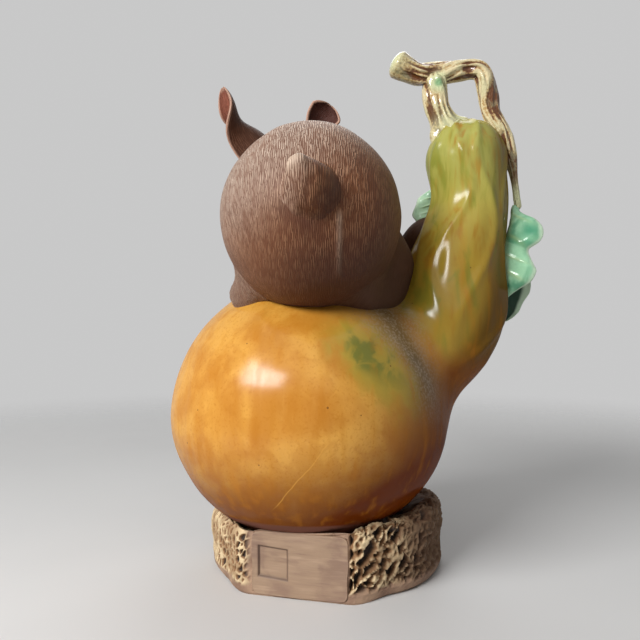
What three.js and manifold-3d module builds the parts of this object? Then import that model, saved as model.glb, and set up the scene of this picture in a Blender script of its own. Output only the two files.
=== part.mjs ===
// A fired clay ornament: a rabbit crouching on a calabash gourd that stands in a porous rock.
// Lengths are in millimetres, angles in degrees. +Z is up, +Y is the way the rabbit faces.
// The origin lies on the underside of the rock, below its middle.
import * as THREE from "three";
import { mergeVertices } from "three/addons/utils/BufferGeometryUtils.js";
import Module from "manifold-3d";

const wasm = await Module();
wasm.setup();

// Slip joint left between two luted pieces
const SLIP_GAP = 0.3;

// Gourd bulb
const BULB_RADIUS = 90.7;
const BULB_LOWER_HEIGHT = 79.5;
const BULB_WALL = 6;
const BULB_OFFSET_X = -11.4;
const BODY_VENT_RADIUS = 6;

// Rock base, cut to carry the bulb
const ROCK_HALF_WIDTH = BULB_RADIUS * 0.85;
const ROCK_HALF_DEPTH = BULB_RADIUS * 0.685;
const ROCK_RIM_HEIGHT = 38;
const ROCK_PEAK_RISE = 9;
const ROCK_FLOOR_HEIGHT = 21;
const ROCK_LIP_WIDTH = 4;
const ROCK_FACET_STEP = 1.2;
const ROCK_WAVE = 2.4;
const ROCK_VENT_RADIUS = 6;
const PIT_RADIUS = 4.8;

// Smooth slab let into the rock
const PANEL_WIDTH = 58;
const PANEL_HEIGHT = 33;
const PANEL_THICKNESS = 5;
const PANEL_YAW = -14;
const PANEL_CENTRE_X = -17;
const PANEL_FACE_Y = -ROCK_HALF_DEPTH * 0.942;
const PANEL_CENTRE_Z = 18.5;
const PANEL_CORNER = 5;
const RECESS_SIDE = 17.5;
const RECESS_DEPTH = 1.2;
const RECESS_OFFSET_X = -16;
const RECESS_OFFSET_Z = 0.5;

// Gourd neck: reach and rise are measured from the middle of the bulb
const NECK_WALL = 6;
const NECK_ROOT_RADIUS = 35.5;
const NECK_ROOT_REACH = 90;
const NECK_ROOT_RISE = 64;
const NECK_SHOULDER_RADIUS = 29.5;
const NECK_SHOULDER_REACH = 96.5;
const NECK_SHOULDER_RISE = 97;
const NECK_WAIST_RADIUS = 25;
const NECK_WAIST_REACH = 107.5;
const NECK_WAIST_RISE = 145;
const NECK_CROWN_RADIUS = 26.2;
const NECK_CROWN_REACH = 104.5;
const NECK_CROWN_RISE = 169;
const NECK_PASSAGE_RADIUS = 16;

// Stem and vine: reach and rise are measured from the middle of the crown
const STEM_RADIUS = 6.5;
const CALYX_RADIUS = 12;
const STEM_FOOT_REACH = -12;
const STEM_TOP_REACH = -21.5;
const VINE_RADIUS = 6.8;
const VINE_CUT_RADIUS = 10;
const VINE_STALK_RADIUS = 2.3;
const VINE_CUT_REACH = -44;
const VINE_CUT_LIFT = 6;
const VINE_BAR_RISE = 57;
const VINE_BEND_REACH = 15;

// Leaves
const LEAF_THICKNESS = 3;
const LEAF_LENGTH = 75;
const LEAF_LOBE = 24;
const LEAF_FOLD = 62;
const LEAF_RIPPLE = 1.6;
const SMALL_LEAF_LENGTH = 34;
const SMALL_LEAF_LOBE = 15;

// Rabbit trunk: sink is how far a part is pressed into the bulb
const BODY_WALL = 6;
const RUMP_RADIUS = 55;
const RUMP_SINK = 13.5;
const RUMP_CLIMB = 70;
const WAIST_RADIUS = 50;
const CHEST_RADIUS = 40;
const CHEST_CLIMB = 70;

// Rabbit head: reach and rise are measured from the middle of the chest, seat is the clay behind an eye
const HEAD_RADIUS = 36;
const HEAD_REACH = 32;
const HEAD_RISE = 34;
const HEAD_SIDE = -5;
const MUZZLE_RADIUS = 23;
const MUZZLE_REACH = 25;
const CHEEK_RADIUS = 19;
const HEAD_VENT_RADIUS = 6;
const EYE_RADIUS = 6.5;
const EYE_SOCKET_DEPTH = 10;
const EYE_SEAT = 2.5;
const HEAD_WALL = EYE_SOCKET_DEPTH + EYE_SEAT;

// Ears
const EAR_THICKNESS = 3.4;
const EAR_HALF_WIDTH = 15.5;
const EAR_LEFT_LENGTH = 64;
const EAR_RIGHT_LENGTH = 48;

// Tail
const TAIL_RADIUS = 11.5;
const TAIL_TIP_RADIUS = 5.5;
const TAIL_LENGTH = 19;

// Legs
const THIGH_RADIUS = 30;
const FOOT_RADIUS = 12;
const FORE_LEG_RADIUS = 15;
const PAW_RADIUS = 10;

// Fineness of the curved surfaces
const CAP_RINGS = 4;
const NECK_SIDES = 24;
const SKIN_STEPS = 60;

const CLAY = { color: 0x70503e, roughness: 0.62, metalness: 0 };
const AMBER = { color: 0xb4782a, roughness: 0.14, metalness: 0 };
const OLIVE = { color: 0x8c8436, roughness: 0.14, metalness: 0 };
const BARK = { color: 0xb89a68, roughness: 0.38, metalness: 0 };
const GREEN = { color: 0x5f9a78, roughness: 0.12, metalness: 0 };
const ROCK = { color: 0x8d775c, roughness: 0.7, metalness: 0 };
const SLAB = { color: 0xa89878, roughness: 0.5, metalness: 0 };
const BEAD = { color: 0x14100e, roughness: 0.06, metalness: 0 };

const point = (x, y, z) => new THREE.Vector3(x, y, z);
const radians = THREE.MathUtils.degToRad;
const group = new THREE.Group();

function toSolid(geometry) {
  geometry.deleteAttribute("normal");
  geometry.deleteAttribute("uv");
  const merged = mergeVertices(geometry, 1e-4);
  return new wasm.Manifold(
    new wasm.Mesh({
      numProp: 3,
      vertProperties: new Float32Array(merged.attributes.position.array),
      triVerts: new Uint32Array(merged.index.array),
    }),
  );
}

function addPiece(name, solid, finish) {
  const { vertProperties, triVerts } = solid.getMesh();
  const geometry = new THREE.BufferGeometry();
  geometry.setAttribute("position", new THREE.BufferAttribute(new Float32Array(vertProperties), 3));
  geometry.setIndex(new THREE.BufferAttribute(new Uint32Array(triVerts), 1));
  geometry.computeVertexNormals();
  const mesh = new THREE.Mesh(geometry, new THREE.MeshStandardMaterial(finish));
  mesh.name = name;
  group.add(mesh);
}

// A rounded limb: rings around a smooth curve through the stations, closed by a dome at each end.
// `domes` are their heights against their radius.
function limb(stations, { sides = 20, rings = 10, grow = 0, domes = [1, 1] } = {}) {
  const curve = new THREE.CatmullRomCurve3(stations.map((station) => station.at));
  const sizes = new THREE.SplineCurve(stations.map((station, i) => new THREE.Vector2(i, station.r)));
  const last = rings + 2 * CAP_RINGS;
  const frames = curve.computeFrenetFrames(rings, false);
  const geometry = new THREE.SphereGeometry(1, sides, last);
  const position = geometry.attributes.position;
  for (let ring = 0; ring <= last; ring += 1) {
    const step = THREE.MathUtils.clamp(ring - CAP_RINGS, 0, rings);
    const beyond = ring - CAP_RINGS - step;
    const tilt = (Math.PI / 2) * (beyond / CAP_RINGS);
    const dome = beyond < 0 ? domes[0] : domes[1];
    const share = curve.getUtoTmapping(step / rings);
    const radius = sizes.getPoint(share).y + grow;
    const along = frames.tangents[step];
    const side = frames.normals[step];
    const other = side.clone().cross(along);
    const centre = curve.getPoint(share).addScaledVector(along, dome * radius * Math.sin(tilt));
    const reach = Math.abs(beyond) === CAP_RINGS ? 0 : radius * Math.cos(tilt);
    for (let i = 0; i <= sides; i += 1) {
      const turn = (2 * Math.PI * (i % sides)) / sides;
      const spot = centre.clone();
      spot.addScaledVector(side, reach * Math.cos(turn));
      spot.addScaledVector(other, reach * Math.sin(turn));
      position.setXYZ(ring * (sides + 1) + i, spot.x, spot.y, spot.z);
    }
  }
  return toSolid(geometry);
}

function ball(centre, radii, { sides = 20, rings = 12, grow = 0 } = {}) {
  const geometry = new THREE.SphereGeometry(1, sides, rings);
  geometry.rotateX(Math.PI / 2);
  geometry.scale(radii.x + grow, radii.y + grow, radii.z + grow);
  geometry.translate(centre.x, centre.y, centre.z);
  return toSolid(geometry);
}

function rod(from, to, radius) {
  return limb(
    [
      { at: from, r: radius },
      { at: to, r: radius },
    ],
    { sides: 12, rings: 2 },
  );
}

// A thin blade: a flat box bent by `shape`, which takes the place along, across and through it.
function blade(shape, across, along) {
  const geometry = new THREE.BoxGeometry(2, 2, 1, across, 1, along);
  const position = geometry.attributes.position;
  for (let i = 0; i < position.count; i += 1) {
    const spot = shape(position.getZ(i) + 0.5, position.getX(i), position.getY(i));
    position.setXYZ(i, spot.x, spot.y, spot.z);
  }
  return toSolid(geometry);
}

const smoothThrough = (values) => {
  const curve = new THREE.SplineCurve(values.map((value, i) => new THREE.Vector2(i, value)));
  return (share) => curve.getPoint(share).y;
};

// Gourd bulb
const bulbCentre = point(BULB_OFFSET_X, 0, ROCK_FLOOR_HEIGHT + SLIP_GAP + BULB_LOWER_HEIGHT);

function bulbShape(grow, sides = 34, rings = 20) {
  const profile = [];
  for (let i = 0; i <= rings; i += 1) {
    const angle = Math.PI * (i / rings - 0.5);
    const height = angle < 0 ? BULB_LOWER_HEIGHT : BULB_RADIUS;
    const across = i % rings === 0 ? 0 : (BULB_RADIUS + grow) * Math.cos(angle);
    profile.push(new THREE.Vector2(across, (height + grow) * Math.sin(angle)));
  }
  const geometry = new THREE.LatheGeometry(profile, sides);
  geometry.rotateX(Math.PI / 2);
  geometry.translate(bulbCentre.x, bulbCentre.y, bulbCentre.z);
  return toSolid(geometry);
}

// A point over the bulb: turn runs from the rear towards +X, climb is the angle above its middle.
function overBulb(turn, climb, lift) {
  const reach = BULB_RADIUS + lift;
  const level = reach * Math.cos(radians(climb));
  return bulbCentre
    .clone()
    .add(
      point(
        level * Math.sin(radians(turn)),
        -level * Math.cos(radians(turn)),
        reach * Math.sin(radians(climb)),
      ),
    );
}

// Gourd neck
const fromBulb = (reach, rise) => bulbCentre.clone().add(point(reach, 0, rise));
const neckStart = fromBulb(NECK_ROOT_REACH * 0.66, NECK_ROOT_RISE * 0.4);
const neckRoot = fromBulb(NECK_ROOT_REACH, NECK_ROOT_RISE);
const neckShoulder = fromBulb(NECK_SHOULDER_REACH, NECK_SHOULDER_RISE);
const neckWaist = fromBulb(NECK_WAIST_REACH, NECK_WAIST_RISE);
const crown = fromBulb(NECK_CROWN_REACH, NECK_CROWN_RISE);

const neckStations = [
  { at: neckStart, r: NECK_ROOT_RADIUS },
  { at: neckRoot, r: NECK_ROOT_RADIUS },
  { at: neckShoulder, r: NECK_SHOULDER_RADIUS },
  { at: neckWaist, r: NECK_WAIST_RADIUS },
  { at: crown, r: NECK_CROWN_RADIUS },
];
const neckShape = (grow, sides = NECK_SIDES) => limb(neckStations, { sides, rings: 14, grow });

// How far out the skin of the neck is at a height, on its +X side
const neckCurve = new THREE.CatmullRomCurve3(neckStations.map((station) => station.at));
const neckSize = smoothThrough(neckStations.map((station) => station.r));

function neckSide(height) {
  let low = neckStart;
  let high = neckStart;
  for (let i = 0; high.z < height && i <= SKIN_STEPS; i += 1) {
    const along = neckCurve.getTangent(i / SKIN_STEPS);
    const out = point(along.z, 0, -along.x);
    low = high;
    high = neckCurve.getPoint(i / SKIN_STEPS).addScaledVector(out, neckSize(i / SKIN_STEPS));
  }
  return THREE.MathUtils.mapLinear(height, low.z, high.z, low.x, high.x);
}

// Rabbit trunk
const rumpCentre = overBulb(1, RUMP_CLIMB, RUMP_RADIUS - RUMP_SINK);
const waistCentre = overBulb(0, 90, WAIST_RADIUS - RUMP_SINK);
const chestCentre = overBulb(185, CHEST_CLIMB, CHEST_RADIUS - RUMP_SINK / 2);

function bodyShape(grow, sides = 28) {
  const stations = [
    { at: rumpCentre, r: RUMP_RADIUS },
    { at: waistCentre, r: WAIST_RADIUS },
    { at: chestCentre, r: CHEST_RADIUS },
  ];
  return limb(stations, { sides, rings: 8, grow });
}

// Rabbit head
const headCentre = chestCentre.clone().add(point(HEAD_SIDE, HEAD_REACH, HEAD_RISE));
const muzzleCentre = headCentre.clone().add(point(0, MUZZLE_REACH, -HEAD_RADIUS / 4));

function headShape(grow, sides = 20) {
  const stations = [
    { at: headCentre, r: HEAD_RADIUS },
    { at: muzzleCentre, r: MUZZLE_RADIUS },
  ];
  return limb(stations, { sides, rings: 5, grow });
}

function cheek(side, grow) {
  const out = point(side * 0.44, 0.48, -0.32).multiplyScalar(HEAD_RADIUS);
  const size = point(CHEEK_RADIUS, CHEEK_RADIUS, CHEEK_RADIUS);
  return ball(headCentre.clone().add(out), size, { sides: 12, rings: 8, grow });
}

const fullHead = (grow) => headShape(grow).add(cheek(-1, grow)).add(cheek(1, grow));

function eyeCentre(side) {
  const out = point(side * 0.74, 0.58, 0.36).normalize();
  return headCentre.clone().addScaledVector(out, HEAD_RADIUS - EYE_SOCKET_DEPTH + EYE_RADIUS);
}

const eyeShape = (side, grow) =>
  ball(eyeCentre(side), point(EYE_RADIUS, EYE_RADIUS, EYE_RADIUS), { sides: 12, rings: 8, grow });

// An ear is a blade curled round its spine, open towards `mouth`.
function earShape({ root, spine, mouthLow, mouthHigh, widths, curl }) {
  const curve = new THREE.CatmullRomCurve3(spine.map((step) => root.clone().add(step)));
  const halfWidth = smoothThrough(widths);
  const shape = (along, across, through) => {
    const tangent = curve.getTangent(along);
    const mouth = mouthLow.clone().lerp(mouthHigh, along ** 3);
    mouth.addScaledVector(tangent, -mouth.dot(tangent)).normalize();
    const sideways = tangent.clone().cross(mouth);
    const angle = radians(curl / 2) * across;
    const radius = halfWidth(along) / Math.sin(radians(curl / 2));
    const inward = mouth.clone().multiplyScalar(Math.cos(angle));
    inward.addScaledVector(sideways, -Math.sin(angle));
    const half = (EAR_THICKNESS / 2) * (1 - 0.45 * across * across);
    return curve
      .getPoint(along)
      .addScaledVector(sideways, radius * Math.sin(angle))
      .addScaledVector(mouth, radius * (1 - Math.cos(angle)))
      .addScaledVector(inward, -half * through);
  };
  return blade(shape, 8, 10);
}

const earRootLeft = headCentre.clone().add(point(-HEAD_RADIUS / 2, -HEAD_RADIUS / 6, HEAD_RADIUS * 0.72));
const earRootRight = headCentre.clone().add(point(HEAD_RADIUS / 2, -HEAD_RADIUS / 6, HEAD_RADIUS * 0.76));

const earLeft = earShape({
  root: earRootLeft,
  spine: [
    point(0, 0, 0),
    point(-0.27, -0.05, 0.3).multiplyScalar(EAR_LEFT_LENGTH),
    point(-0.54, -0.09, 0.62).multiplyScalar(EAR_LEFT_LENGTH),
    point(-0.66, -0.125, 1).multiplyScalar(EAR_LEFT_LENGTH),
  ],
  mouthLow: point(-0.35, 0.94, 0),
  mouthHigh: point(-0.8, -0.6, 0.1),
  widths: [EAR_HALF_WIDTH * 0.7, EAR_HALF_WIDTH, EAR_HALF_WIDTH * 0.8, EAR_HALF_WIDTH * 0.15],
  curl: 130,
});

const earRight = earShape({
  root: earRootRight,
  spine: [
    point(0, 0, 0),
    point(0, -0.04, 0.4).multiplyScalar(EAR_RIGHT_LENGTH),
    point(0.04, -0.125, 0.8).multiplyScalar(EAR_RIGHT_LENGTH),
    point(0.26, -0.25, 1).multiplyScalar(EAR_RIGHT_LENGTH),
  ],
  mouthLow: point(0.3, -0.95, 0),
  mouthHigh: point(0.3, -0.95, 0),
  widths: [EAR_HALF_WIDTH * 0.6, EAR_HALF_WIDTH * 0.9, EAR_HALF_WIDTH * 0.85, EAR_HALF_WIDTH * 0.2],
  curl: 120,
});

// Tail, a stub cone pointing back and up
const tailOut = point(-0.05, -0.98, 0.12).normalize();
const tailRoot = rumpCentre.clone().addScaledVector(tailOut, RUMP_RADIUS - TAIL_RADIUS / 2);
const tailTip = tailRoot.clone().add(point(-0.16, -0.84, 0.5).multiplyScalar(TAIL_LENGTH));
const tailShape = limb(
  [
    { at: tailRoot, r: TAIL_RADIUS },
    { at: tailRoot.clone().lerp(tailTip, 0.55), r: (TAIL_RADIUS * 2 + TAIL_TIP_RADIUS) / 3 },
    { at: tailTip, r: TAIL_TIP_RADIUS },
  ],
  { sides: 14, rings: 5 },
);

// Hind legs: a haunch against the trunk and a long foot lying along the bulb
function hindLeg({ haunchAt, haunch, heelAt, soleAt, toeAt }, grow) {
  const foot = limb(
    [
      { at: heelAt, r: FOOT_RADIUS },
      { at: soleAt, r: FOOT_RADIUS },
      { at: toeAt, r: FOOT_RADIUS * 0.8 },
    ],
    { sides: 12, rings: 6, grow },
  );
  return ball(haunchAt, haunch, { sides: 16, rings: 10, grow }).add(foot);
}

const leftHindLeg = {
  haunchAt: overBulb(-76, 73, THIGH_RADIUS * 0.63),
  haunch: point(THIGH_RADIUS * 0.68, THIGH_RADIUS * 1.1, THIGH_RADIUS * 0.92),
  heelAt: overBulb(-49, 56.5, 0),
  soleAt: overBulb(-86, 60, 0),
  toeAt: overBulb(-120, 57, 0),
};

const rightHindLeg = {
  haunchAt: overBulb(84, 66, THIGH_RADIUS * 0.45),
  haunch: point(THIGH_RADIUS * 0.88, THIGH_RADIUS * 0.95, THIGH_RADIUS),
  heelAt: overBulb(38, 57, 0),
  soleAt: overBulb(60, 57, 0),
  toeAt: overBulb(84, 54, 0),
};

// Forelegs: the left one stands on the bulb, the right one holds the neck
const shoulderLeft = chestCentre.clone().add(point(-0.6, 0.15, -0.3).multiplyScalar(CHEST_RADIUS));
const foreLegLeft = limb(
  [
    { at: shoulderLeft, r: FORE_LEG_RADIUS },
    { at: overBulb(212, 56, PAW_RADIUS), r: FORE_LEG_RADIUS * 0.85 },
    { at: overBulb(206, 46, PAW_RADIUS * 0.5), r: PAW_RADIUS },
    { at: overBulb(204, 39, PAW_RADIUS * 0.4), r: PAW_RADIUS * 0.95 },
  ],
  { sides: 14, rings: 8 },
);

const neckHold = neckShoulder.clone().lerp(neckWaist, 0.58);
const holdOut = point(-0.72, 0.69, 0);
const pawOut = point(-0.2, 0.98, 0.1);

function foreLegRight(grow) {
  const shoulder = chestCentre.clone().add(point(CHEST_RADIUS * 0.55, 0, -CHEST_RADIUS * 0.4));
  const elbow = neckHold.clone().addScaledVector(holdOut, NECK_SHOULDER_RADIUS * 1.5);
  const stations = [
    { at: shoulder, r: FORE_LEG_RADIUS },
    { at: elbow.add(point(0, 0, -FORE_LEG_RADIUS)), r: FORE_LEG_RADIUS * 0.85 },
    { at: neckHold.clone().addScaledVector(holdOut, NECK_SHOULDER_RADIUS), r: PAW_RADIUS },
    { at: neckHold.clone().addScaledVector(pawOut, NECK_SHOULDER_RADIUS), r: PAW_RADIUS },
  ];
  return limb(stations, { sides: 14, rings: 9, grow });
}

// Stem with a flared calyx on the crown
const fromCrown = (reach, rise, back = 0) => crown.clone().add(point(reach, back, rise));

function stemShape(grow) {
  const stations = [
    { at: fromCrown(STEM_FOOT_REACH * 0.6, NECK_CROWN_RADIUS * 0.6), r: CALYX_RADIUS },
    { at: fromCrown(STEM_FOOT_REACH * 1.3, NECK_CROWN_RADIUS * 0.98), r: CALYX_RADIUS * 0.72 },
    { at: fromCrown(STEM_TOP_REACH * 0.93, NECK_CROWN_RADIUS * 1.4), r: STEM_RADIUS },
    { at: fromCrown(STEM_TOP_REACH, VINE_BAR_RISE - VINE_RADIUS), r: STEM_RADIUS },
  ];
  return limb(stations, { sides: 12, rings: 8, grow });
}

// Vine: from the cut end along the bar, over the bend and down beside the neck to the leaf stalk
const stalkEnd = fromCrown(NECK_CROWN_RADIUS * 1.34, -NECK_CROWN_RADIUS * 1.15);

function vineShape(grow) {
  const stations = [
    { at: fromCrown(VINE_CUT_REACH, VINE_BAR_RISE + VINE_CUT_LIFT), r: VINE_CUT_RADIUS },
    { at: fromCrown(VINE_CUT_REACH * 0.74, VINE_BAR_RISE), r: VINE_RADIUS * 1.3 },
    { at: fromCrown(STEM_TOP_REACH * 0.9, VINE_BAR_RISE), r: VINE_RADIUS * 1.05 },
    { at: fromCrown(-VINE_BEND_REACH / 3, VINE_BAR_RISE * 1.04), r: VINE_RADIUS },
    { at: fromCrown(VINE_BEND_REACH * 0.7, VINE_BAR_RISE * 1.035), r: VINE_RADIUS },
    { at: fromCrown(VINE_BEND_REACH * 1.03, VINE_BAR_RISE * 0.8), r: VINE_RADIUS },
    { at: fromCrown(VINE_BEND_REACH * 1.15, VINE_BAR_RISE * 0.58), r: VINE_RADIUS * 0.9 },
    { at: fromCrown(NECK_CROWN_RADIUS * 0.9, NECK_CROWN_RADIUS * 0.72), r: VINE_RADIUS * 0.85 },
    { at: fromCrown(NECK_CROWN_RADIUS * 1.15, NECK_CROWN_RADIUS * 0.1), r: VINE_RADIUS * 0.65 },
    { at: fromCrown(NECK_CROWN_RADIUS * 1.25, -NECK_CROWN_RADIUS * 0.45), r: VINE_STALK_RADIUS },
    { at: stalkEnd, r: VINE_STALK_RADIUS },
  ];
  return limb(stations, { sides: 12, rings: 26, grow, domes: [0.35, 1] });
}

// A lobed leaf folded along its midrib, open between `nearOut` and `farOut`.
// `near` and `far` are the half widths of its two sides, from stalk to tip.
function leafShape({ spine, near, far, nearOut, farOut, ripple }) {
  const curve = new THREE.CatmullRomCurve3(spine);
  const nearWidth = smoothThrough(near);
  const farWidth = smoothThrough(far);
  const shape = (along, across, through) => {
    const out = across < 0 ? nearOut : farOut;
    const width = Math.abs(across) * (across < 0 ? nearWidth(along) : farWidth(along));
    const face = nearOut.clone().cross(farOut).cross(out).normalize();
    const wave = ripple * across * across * Math.sin(along * 15 + (across < 0 ? 0 : 2));
    const half = (LEAF_THICKNESS / 2) * (1 - 0.5 * across * across);
    const mid = nearOut.clone().add(farOut).normalize();
    const skin = across === 0 ? mid : face.multiplyScalar(across < 0 ? 1 : -1);
    return curve
      .getPoint(along)
      .addScaledVector(out, width)
      .addScaledVector(skin, wave + half * through);
  };
  return blade(shape, 8, 15);
}

// The leaf hangs below the stalk; `stand` is how far it keeps from the neck, against its lobe
const leafTop = stalkEnd.clone().add(point(0, 0, -VINE_STALK_RADIUS - SLIP_GAP));
function leafDrop(share, stand) {
  const height = leafTop.z - LEAF_LENGTH * share;
  return point(neckSide(height) + LEAF_THICKNESS / 2 + 2 * SLIP_GAP + LEAF_LOBE * stand, leafTop.y, height);
}
const foldOut = (angle) => point(Math.cos(radians(angle)), Math.sin(radians(angle)), 0);

const leafLarge = leafShape({
  spine: [leafTop, leafDrop(0.28, 0.05), leafDrop(0.55, 0), leafDrop(0.8, 0.04), leafDrop(1, 0.25)],
  near: [0.12, 0.9, 0.75, 1.15, 0.85, 0.3, 0.09, 0.06].map((share) => share * LEAF_LOBE),
  far: [0.12, 0.8, 0.65, 1, 0.9, 0.8, 0.55, 0.08].map((share) => share * LEAF_LOBE),
  nearOut: foldOut(-LEAF_FOLD / 2 - 8),
  farOut: foldOut(LEAF_FOLD / 2 + 14),
  ripple: LEAF_RIPPLE,
});

const smallTop = neckWaist.clone().add(point(-0.75, 0.85, 0.16).multiplyScalar(NECK_WAIST_RADIUS));
const smallDrop = (share, left, away) =>
  smallTop.clone().add(point(-left, away, -share).multiplyScalar(SMALL_LEAF_LENGTH));
const leafSmall = leafShape({
  spine: [
    smallDrop(-0.2, -0.12, -0.12),
    smallDrop(0.1, 0, 0),
    smallDrop(0.45, 0.06, 0.03),
    smallDrop(0.8, 0.09, 0.06),
  ],
  near: [0.14, 1, 0.7, 0.9, 0.1].map((share) => share * SMALL_LEAF_LOBE),
  far: [0.14, 0.8, 0.6, 0.8, 0.1].map((share) => share * SMALL_LEAF_LOBE),
  nearOut: foldOut(80),
  farOut: foldOut(196),
  ripple: LEAF_RIPPLE * 0.6,
});

// Rock base: a lathe turned into a rock by its outline, its rim height and shallow waves
const rockOutline = (turn) => 1 + 0.025 * Math.sin(3 * turn + 0.6) + 0.02 * Math.sin(5 * turn - 0.4);
const rockRim = (turn) => ROCK_RIM_HEIGHT + ROCK_PEAK_RISE * Math.max(0, Math.cos(turn + 0.4)) ** 2;

function rockShape() {
  const profile = [
    [0, 0],
    [0.5, 0],
    [0.96, 0],
    [1, 0.14],
    [0.985, 0.4],
    [1, 0.65],
    [0.99, 0.88],
    [0.93, 1],
    [0.8, 1],
    [0, 0.9],
  ].map(([across, height]) => new THREE.Vector2(across, height));
  const geometry = new THREE.LatheGeometry(profile, 36);
  geometry.rotateX(Math.PI / 2);
  const position = geometry.attributes.position;
  for (let i = 0; i < position.count; i += 1) {
    const x = position.getX(i);
    const y = position.getY(i);
    const height = position.getZ(i);
    const turn = Math.atan2(y, x);
    const across = Math.hypot(x, y);
    const bump = Math.sin(turn * 7 + height * 5) * Math.sin(height * 9 - turn * 4);
    const wave = height > 0 && across > 0.7 ? ROCK_WAVE * bump : 0;
    const reach = across * rockOutline(turn);
    position.setXYZ(
      i,
      (ROCK_HALF_WIDTH * reach + wave) * Math.cos(turn),
      (ROCK_HALF_DEPTH * reach + wave) * Math.sin(turn),
      height * rockRim(turn),
    );
  }
  return toSolid(geometry);
}

// Pores sit in staggered rows round the rock, densest right of the smooth slab and none on it
function rockPits() {
  const sectors = [
    { from: -58, to: 24, count: 14 },
    { from: 42, to: 186, count: 9 },
    { from: 198, to: 226, count: 3 },
  ];
  let pits = null;
  for (const { from, to, count } of sectors) {
    for (let i = 0; i < count; i += 1) {
      const turn = radians(from + ((to - from) * i) / (count - 1));
      const height = ROCK_RIM_HEIGHT * (0.26 + 0.29 * (i % 3) + 0.05 * Math.sin(i * 1.7));
      const size = PIT_RADIUS * (0.85 + 0.3 * Math.sin(i * 3.1));
      const centre = point(
        ROCK_HALF_WIDTH * rockOutline(turn) * Math.cos(turn),
        ROCK_HALF_DEPTH * rockOutline(turn) * Math.sin(turn),
        height,
      );
      const pit = ball(centre, point(size, size, size), { sides: 6, rings: 4 });
      pits = pits ? pits.add(pit) : pit;
    }
  }
  return pits;
}

// Smooth slab with an empty square recess
function panelShape(grow) {
  const halfWidth = PANEL_WIDTH / 2 + grow;
  const halfHeight = PANEL_HEIGHT / 2 + grow;
  const corner = PANEL_CORNER + grow;
  const outline = new THREE.Shape();
  outline.moveTo(-halfWidth + corner, -halfHeight);
  outline.lineTo(halfWidth - corner, -halfHeight);
  outline.absarc(halfWidth - corner, -halfHeight + corner, corner, -Math.PI / 2, 0, false);
  outline.lineTo(halfWidth, halfHeight - corner);
  outline.absarc(halfWidth - corner, halfHeight - corner, corner, 0, Math.PI / 2, false);
  outline.lineTo(-halfWidth + corner, halfHeight);
  outline.absarc(-halfWidth + corner, halfHeight - corner, corner, Math.PI / 2, Math.PI, false);
  outline.lineTo(-halfWidth, -halfHeight + corner);
  outline.absarc(-halfWidth + corner, -halfHeight + corner, corner, Math.PI, Math.PI * 1.5, false);
  const geometry = new THREE.ExtrudeGeometry(outline, {
    depth: PANEL_THICKNESS + 2 * grow,
    bevelEnabled: false,
    curveSegments: 4,
  });
  geometry.translate(0, 0, -PANEL_THICKNESS - grow);
  return toSolid(placeOnPanel(geometry));
}

function placeOnPanel(geometry) {
  geometry.rotateX(Math.PI / 2);
  geometry.rotateZ(radians(PANEL_YAW));
  geometry.translate(PANEL_CENTRE_X, PANEL_FACE_Y, PANEL_CENTRE_Z);
  return geometry;
}

// The rock is dressed flat round the slab, a step behind its face
function panelFacet() {
  const geometry = new THREE.BoxGeometry(PANEL_WIDTH * 1.2, 2 * ROCK_RIM_HEIGHT, PANEL_THICKNESS * 2);
  geometry.translate(0, ROCK_RIM_HEIGHT / 2, PANEL_THICKNESS - ROCK_FACET_STEP);
  return toSolid(placeOnPanel(geometry));
}

function panelRecess() {
  const geometry = new THREE.BoxGeometry(RECESS_SIDE, RECESS_SIDE, 2 * RECESS_DEPTH);
  geometry.translate(RECESS_OFFSET_X, RECESS_OFFSET_Z, 0);
  return toSolid(placeOnPanel(geometry));
}

// Solids grown by the slip gap, used to trim the pieces that are luted on
const bulbTrim = bulbShape(SLIP_GAP);
const neckTrim = neckShape(SLIP_GAP);
const bodyTrim = bodyShape(SLIP_GAP);
const headTrim = fullHead(SLIP_GAP);
const vineTrim = vineShape(SLIP_GAP);

const bulbVent = rod(
  point(bulbCentre.x, 0, -ROCK_FLOOR_HEIGHT),
  point(bulbCentre.x, 0, bulbCentre.z - BULB_LOWER_HEIGHT / 2),
  ROCK_VENT_RADIUS,
);
const bodyVent = rod(bulbCentre, waistCentre, BODY_VENT_RADIUS);
const headVent = rod(chestCentre, headCentre, HEAD_VENT_RADIUS);
const neckPassage = rod(bulbCentre, neckShoulder, NECK_PASSAGE_RADIUS);

const rock = rockShape()
  .subtract(bulbTrim)
  .subtract(bulbShape(ROCK_LIP_WIDTH).translate([0, 0, ROCK_LIP_WIDTH]))
  .subtract(panelFacet())
  .subtract(rockPits())
  .subtract(panelShape(SLIP_GAP))
  .subtract(bulbVent);
addPiece("rock_base", rock, ROCK);
addPiece("rock_panel", panelShape(0).subtract(bulbTrim).subtract(panelRecess()), SLAB);

const bulb = bulbShape(0)
  .subtract(bulbShape(-BULB_WALL, 18, 12))
  .subtract(bulbVent)
  .subtract(bodyVent)
  .subtract(neckPassage);
addPiece("gourd_bulb", bulb, AMBER);

const neck = neckShape(0).subtract(neckShape(-NECK_WALL, 12)).subtract(bulbTrim);
addPiece("gourd_neck", neck, OLIVE);

addPiece("gourd_stem", stemShape(0).subtract(neckTrim).subtract(vineTrim), BARK);
addPiece("vine", vineShape(0).subtract(neckTrim), BARK);
addPiece("leaf_large", leafLarge, GREEN);
addPiece("leaf_small", leafSmall.subtract(neckTrim).subtract(foreLegRight(SLIP_GAP)), GREEN);

const body = bodyShape(0)
  .subtract(bodyShape(-BODY_WALL, 14))
  .subtract(bulbTrim)
  .subtract(neckTrim)
  .subtract(headVent);
addPiece("rabbit_body", body, CLAY);

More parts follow.
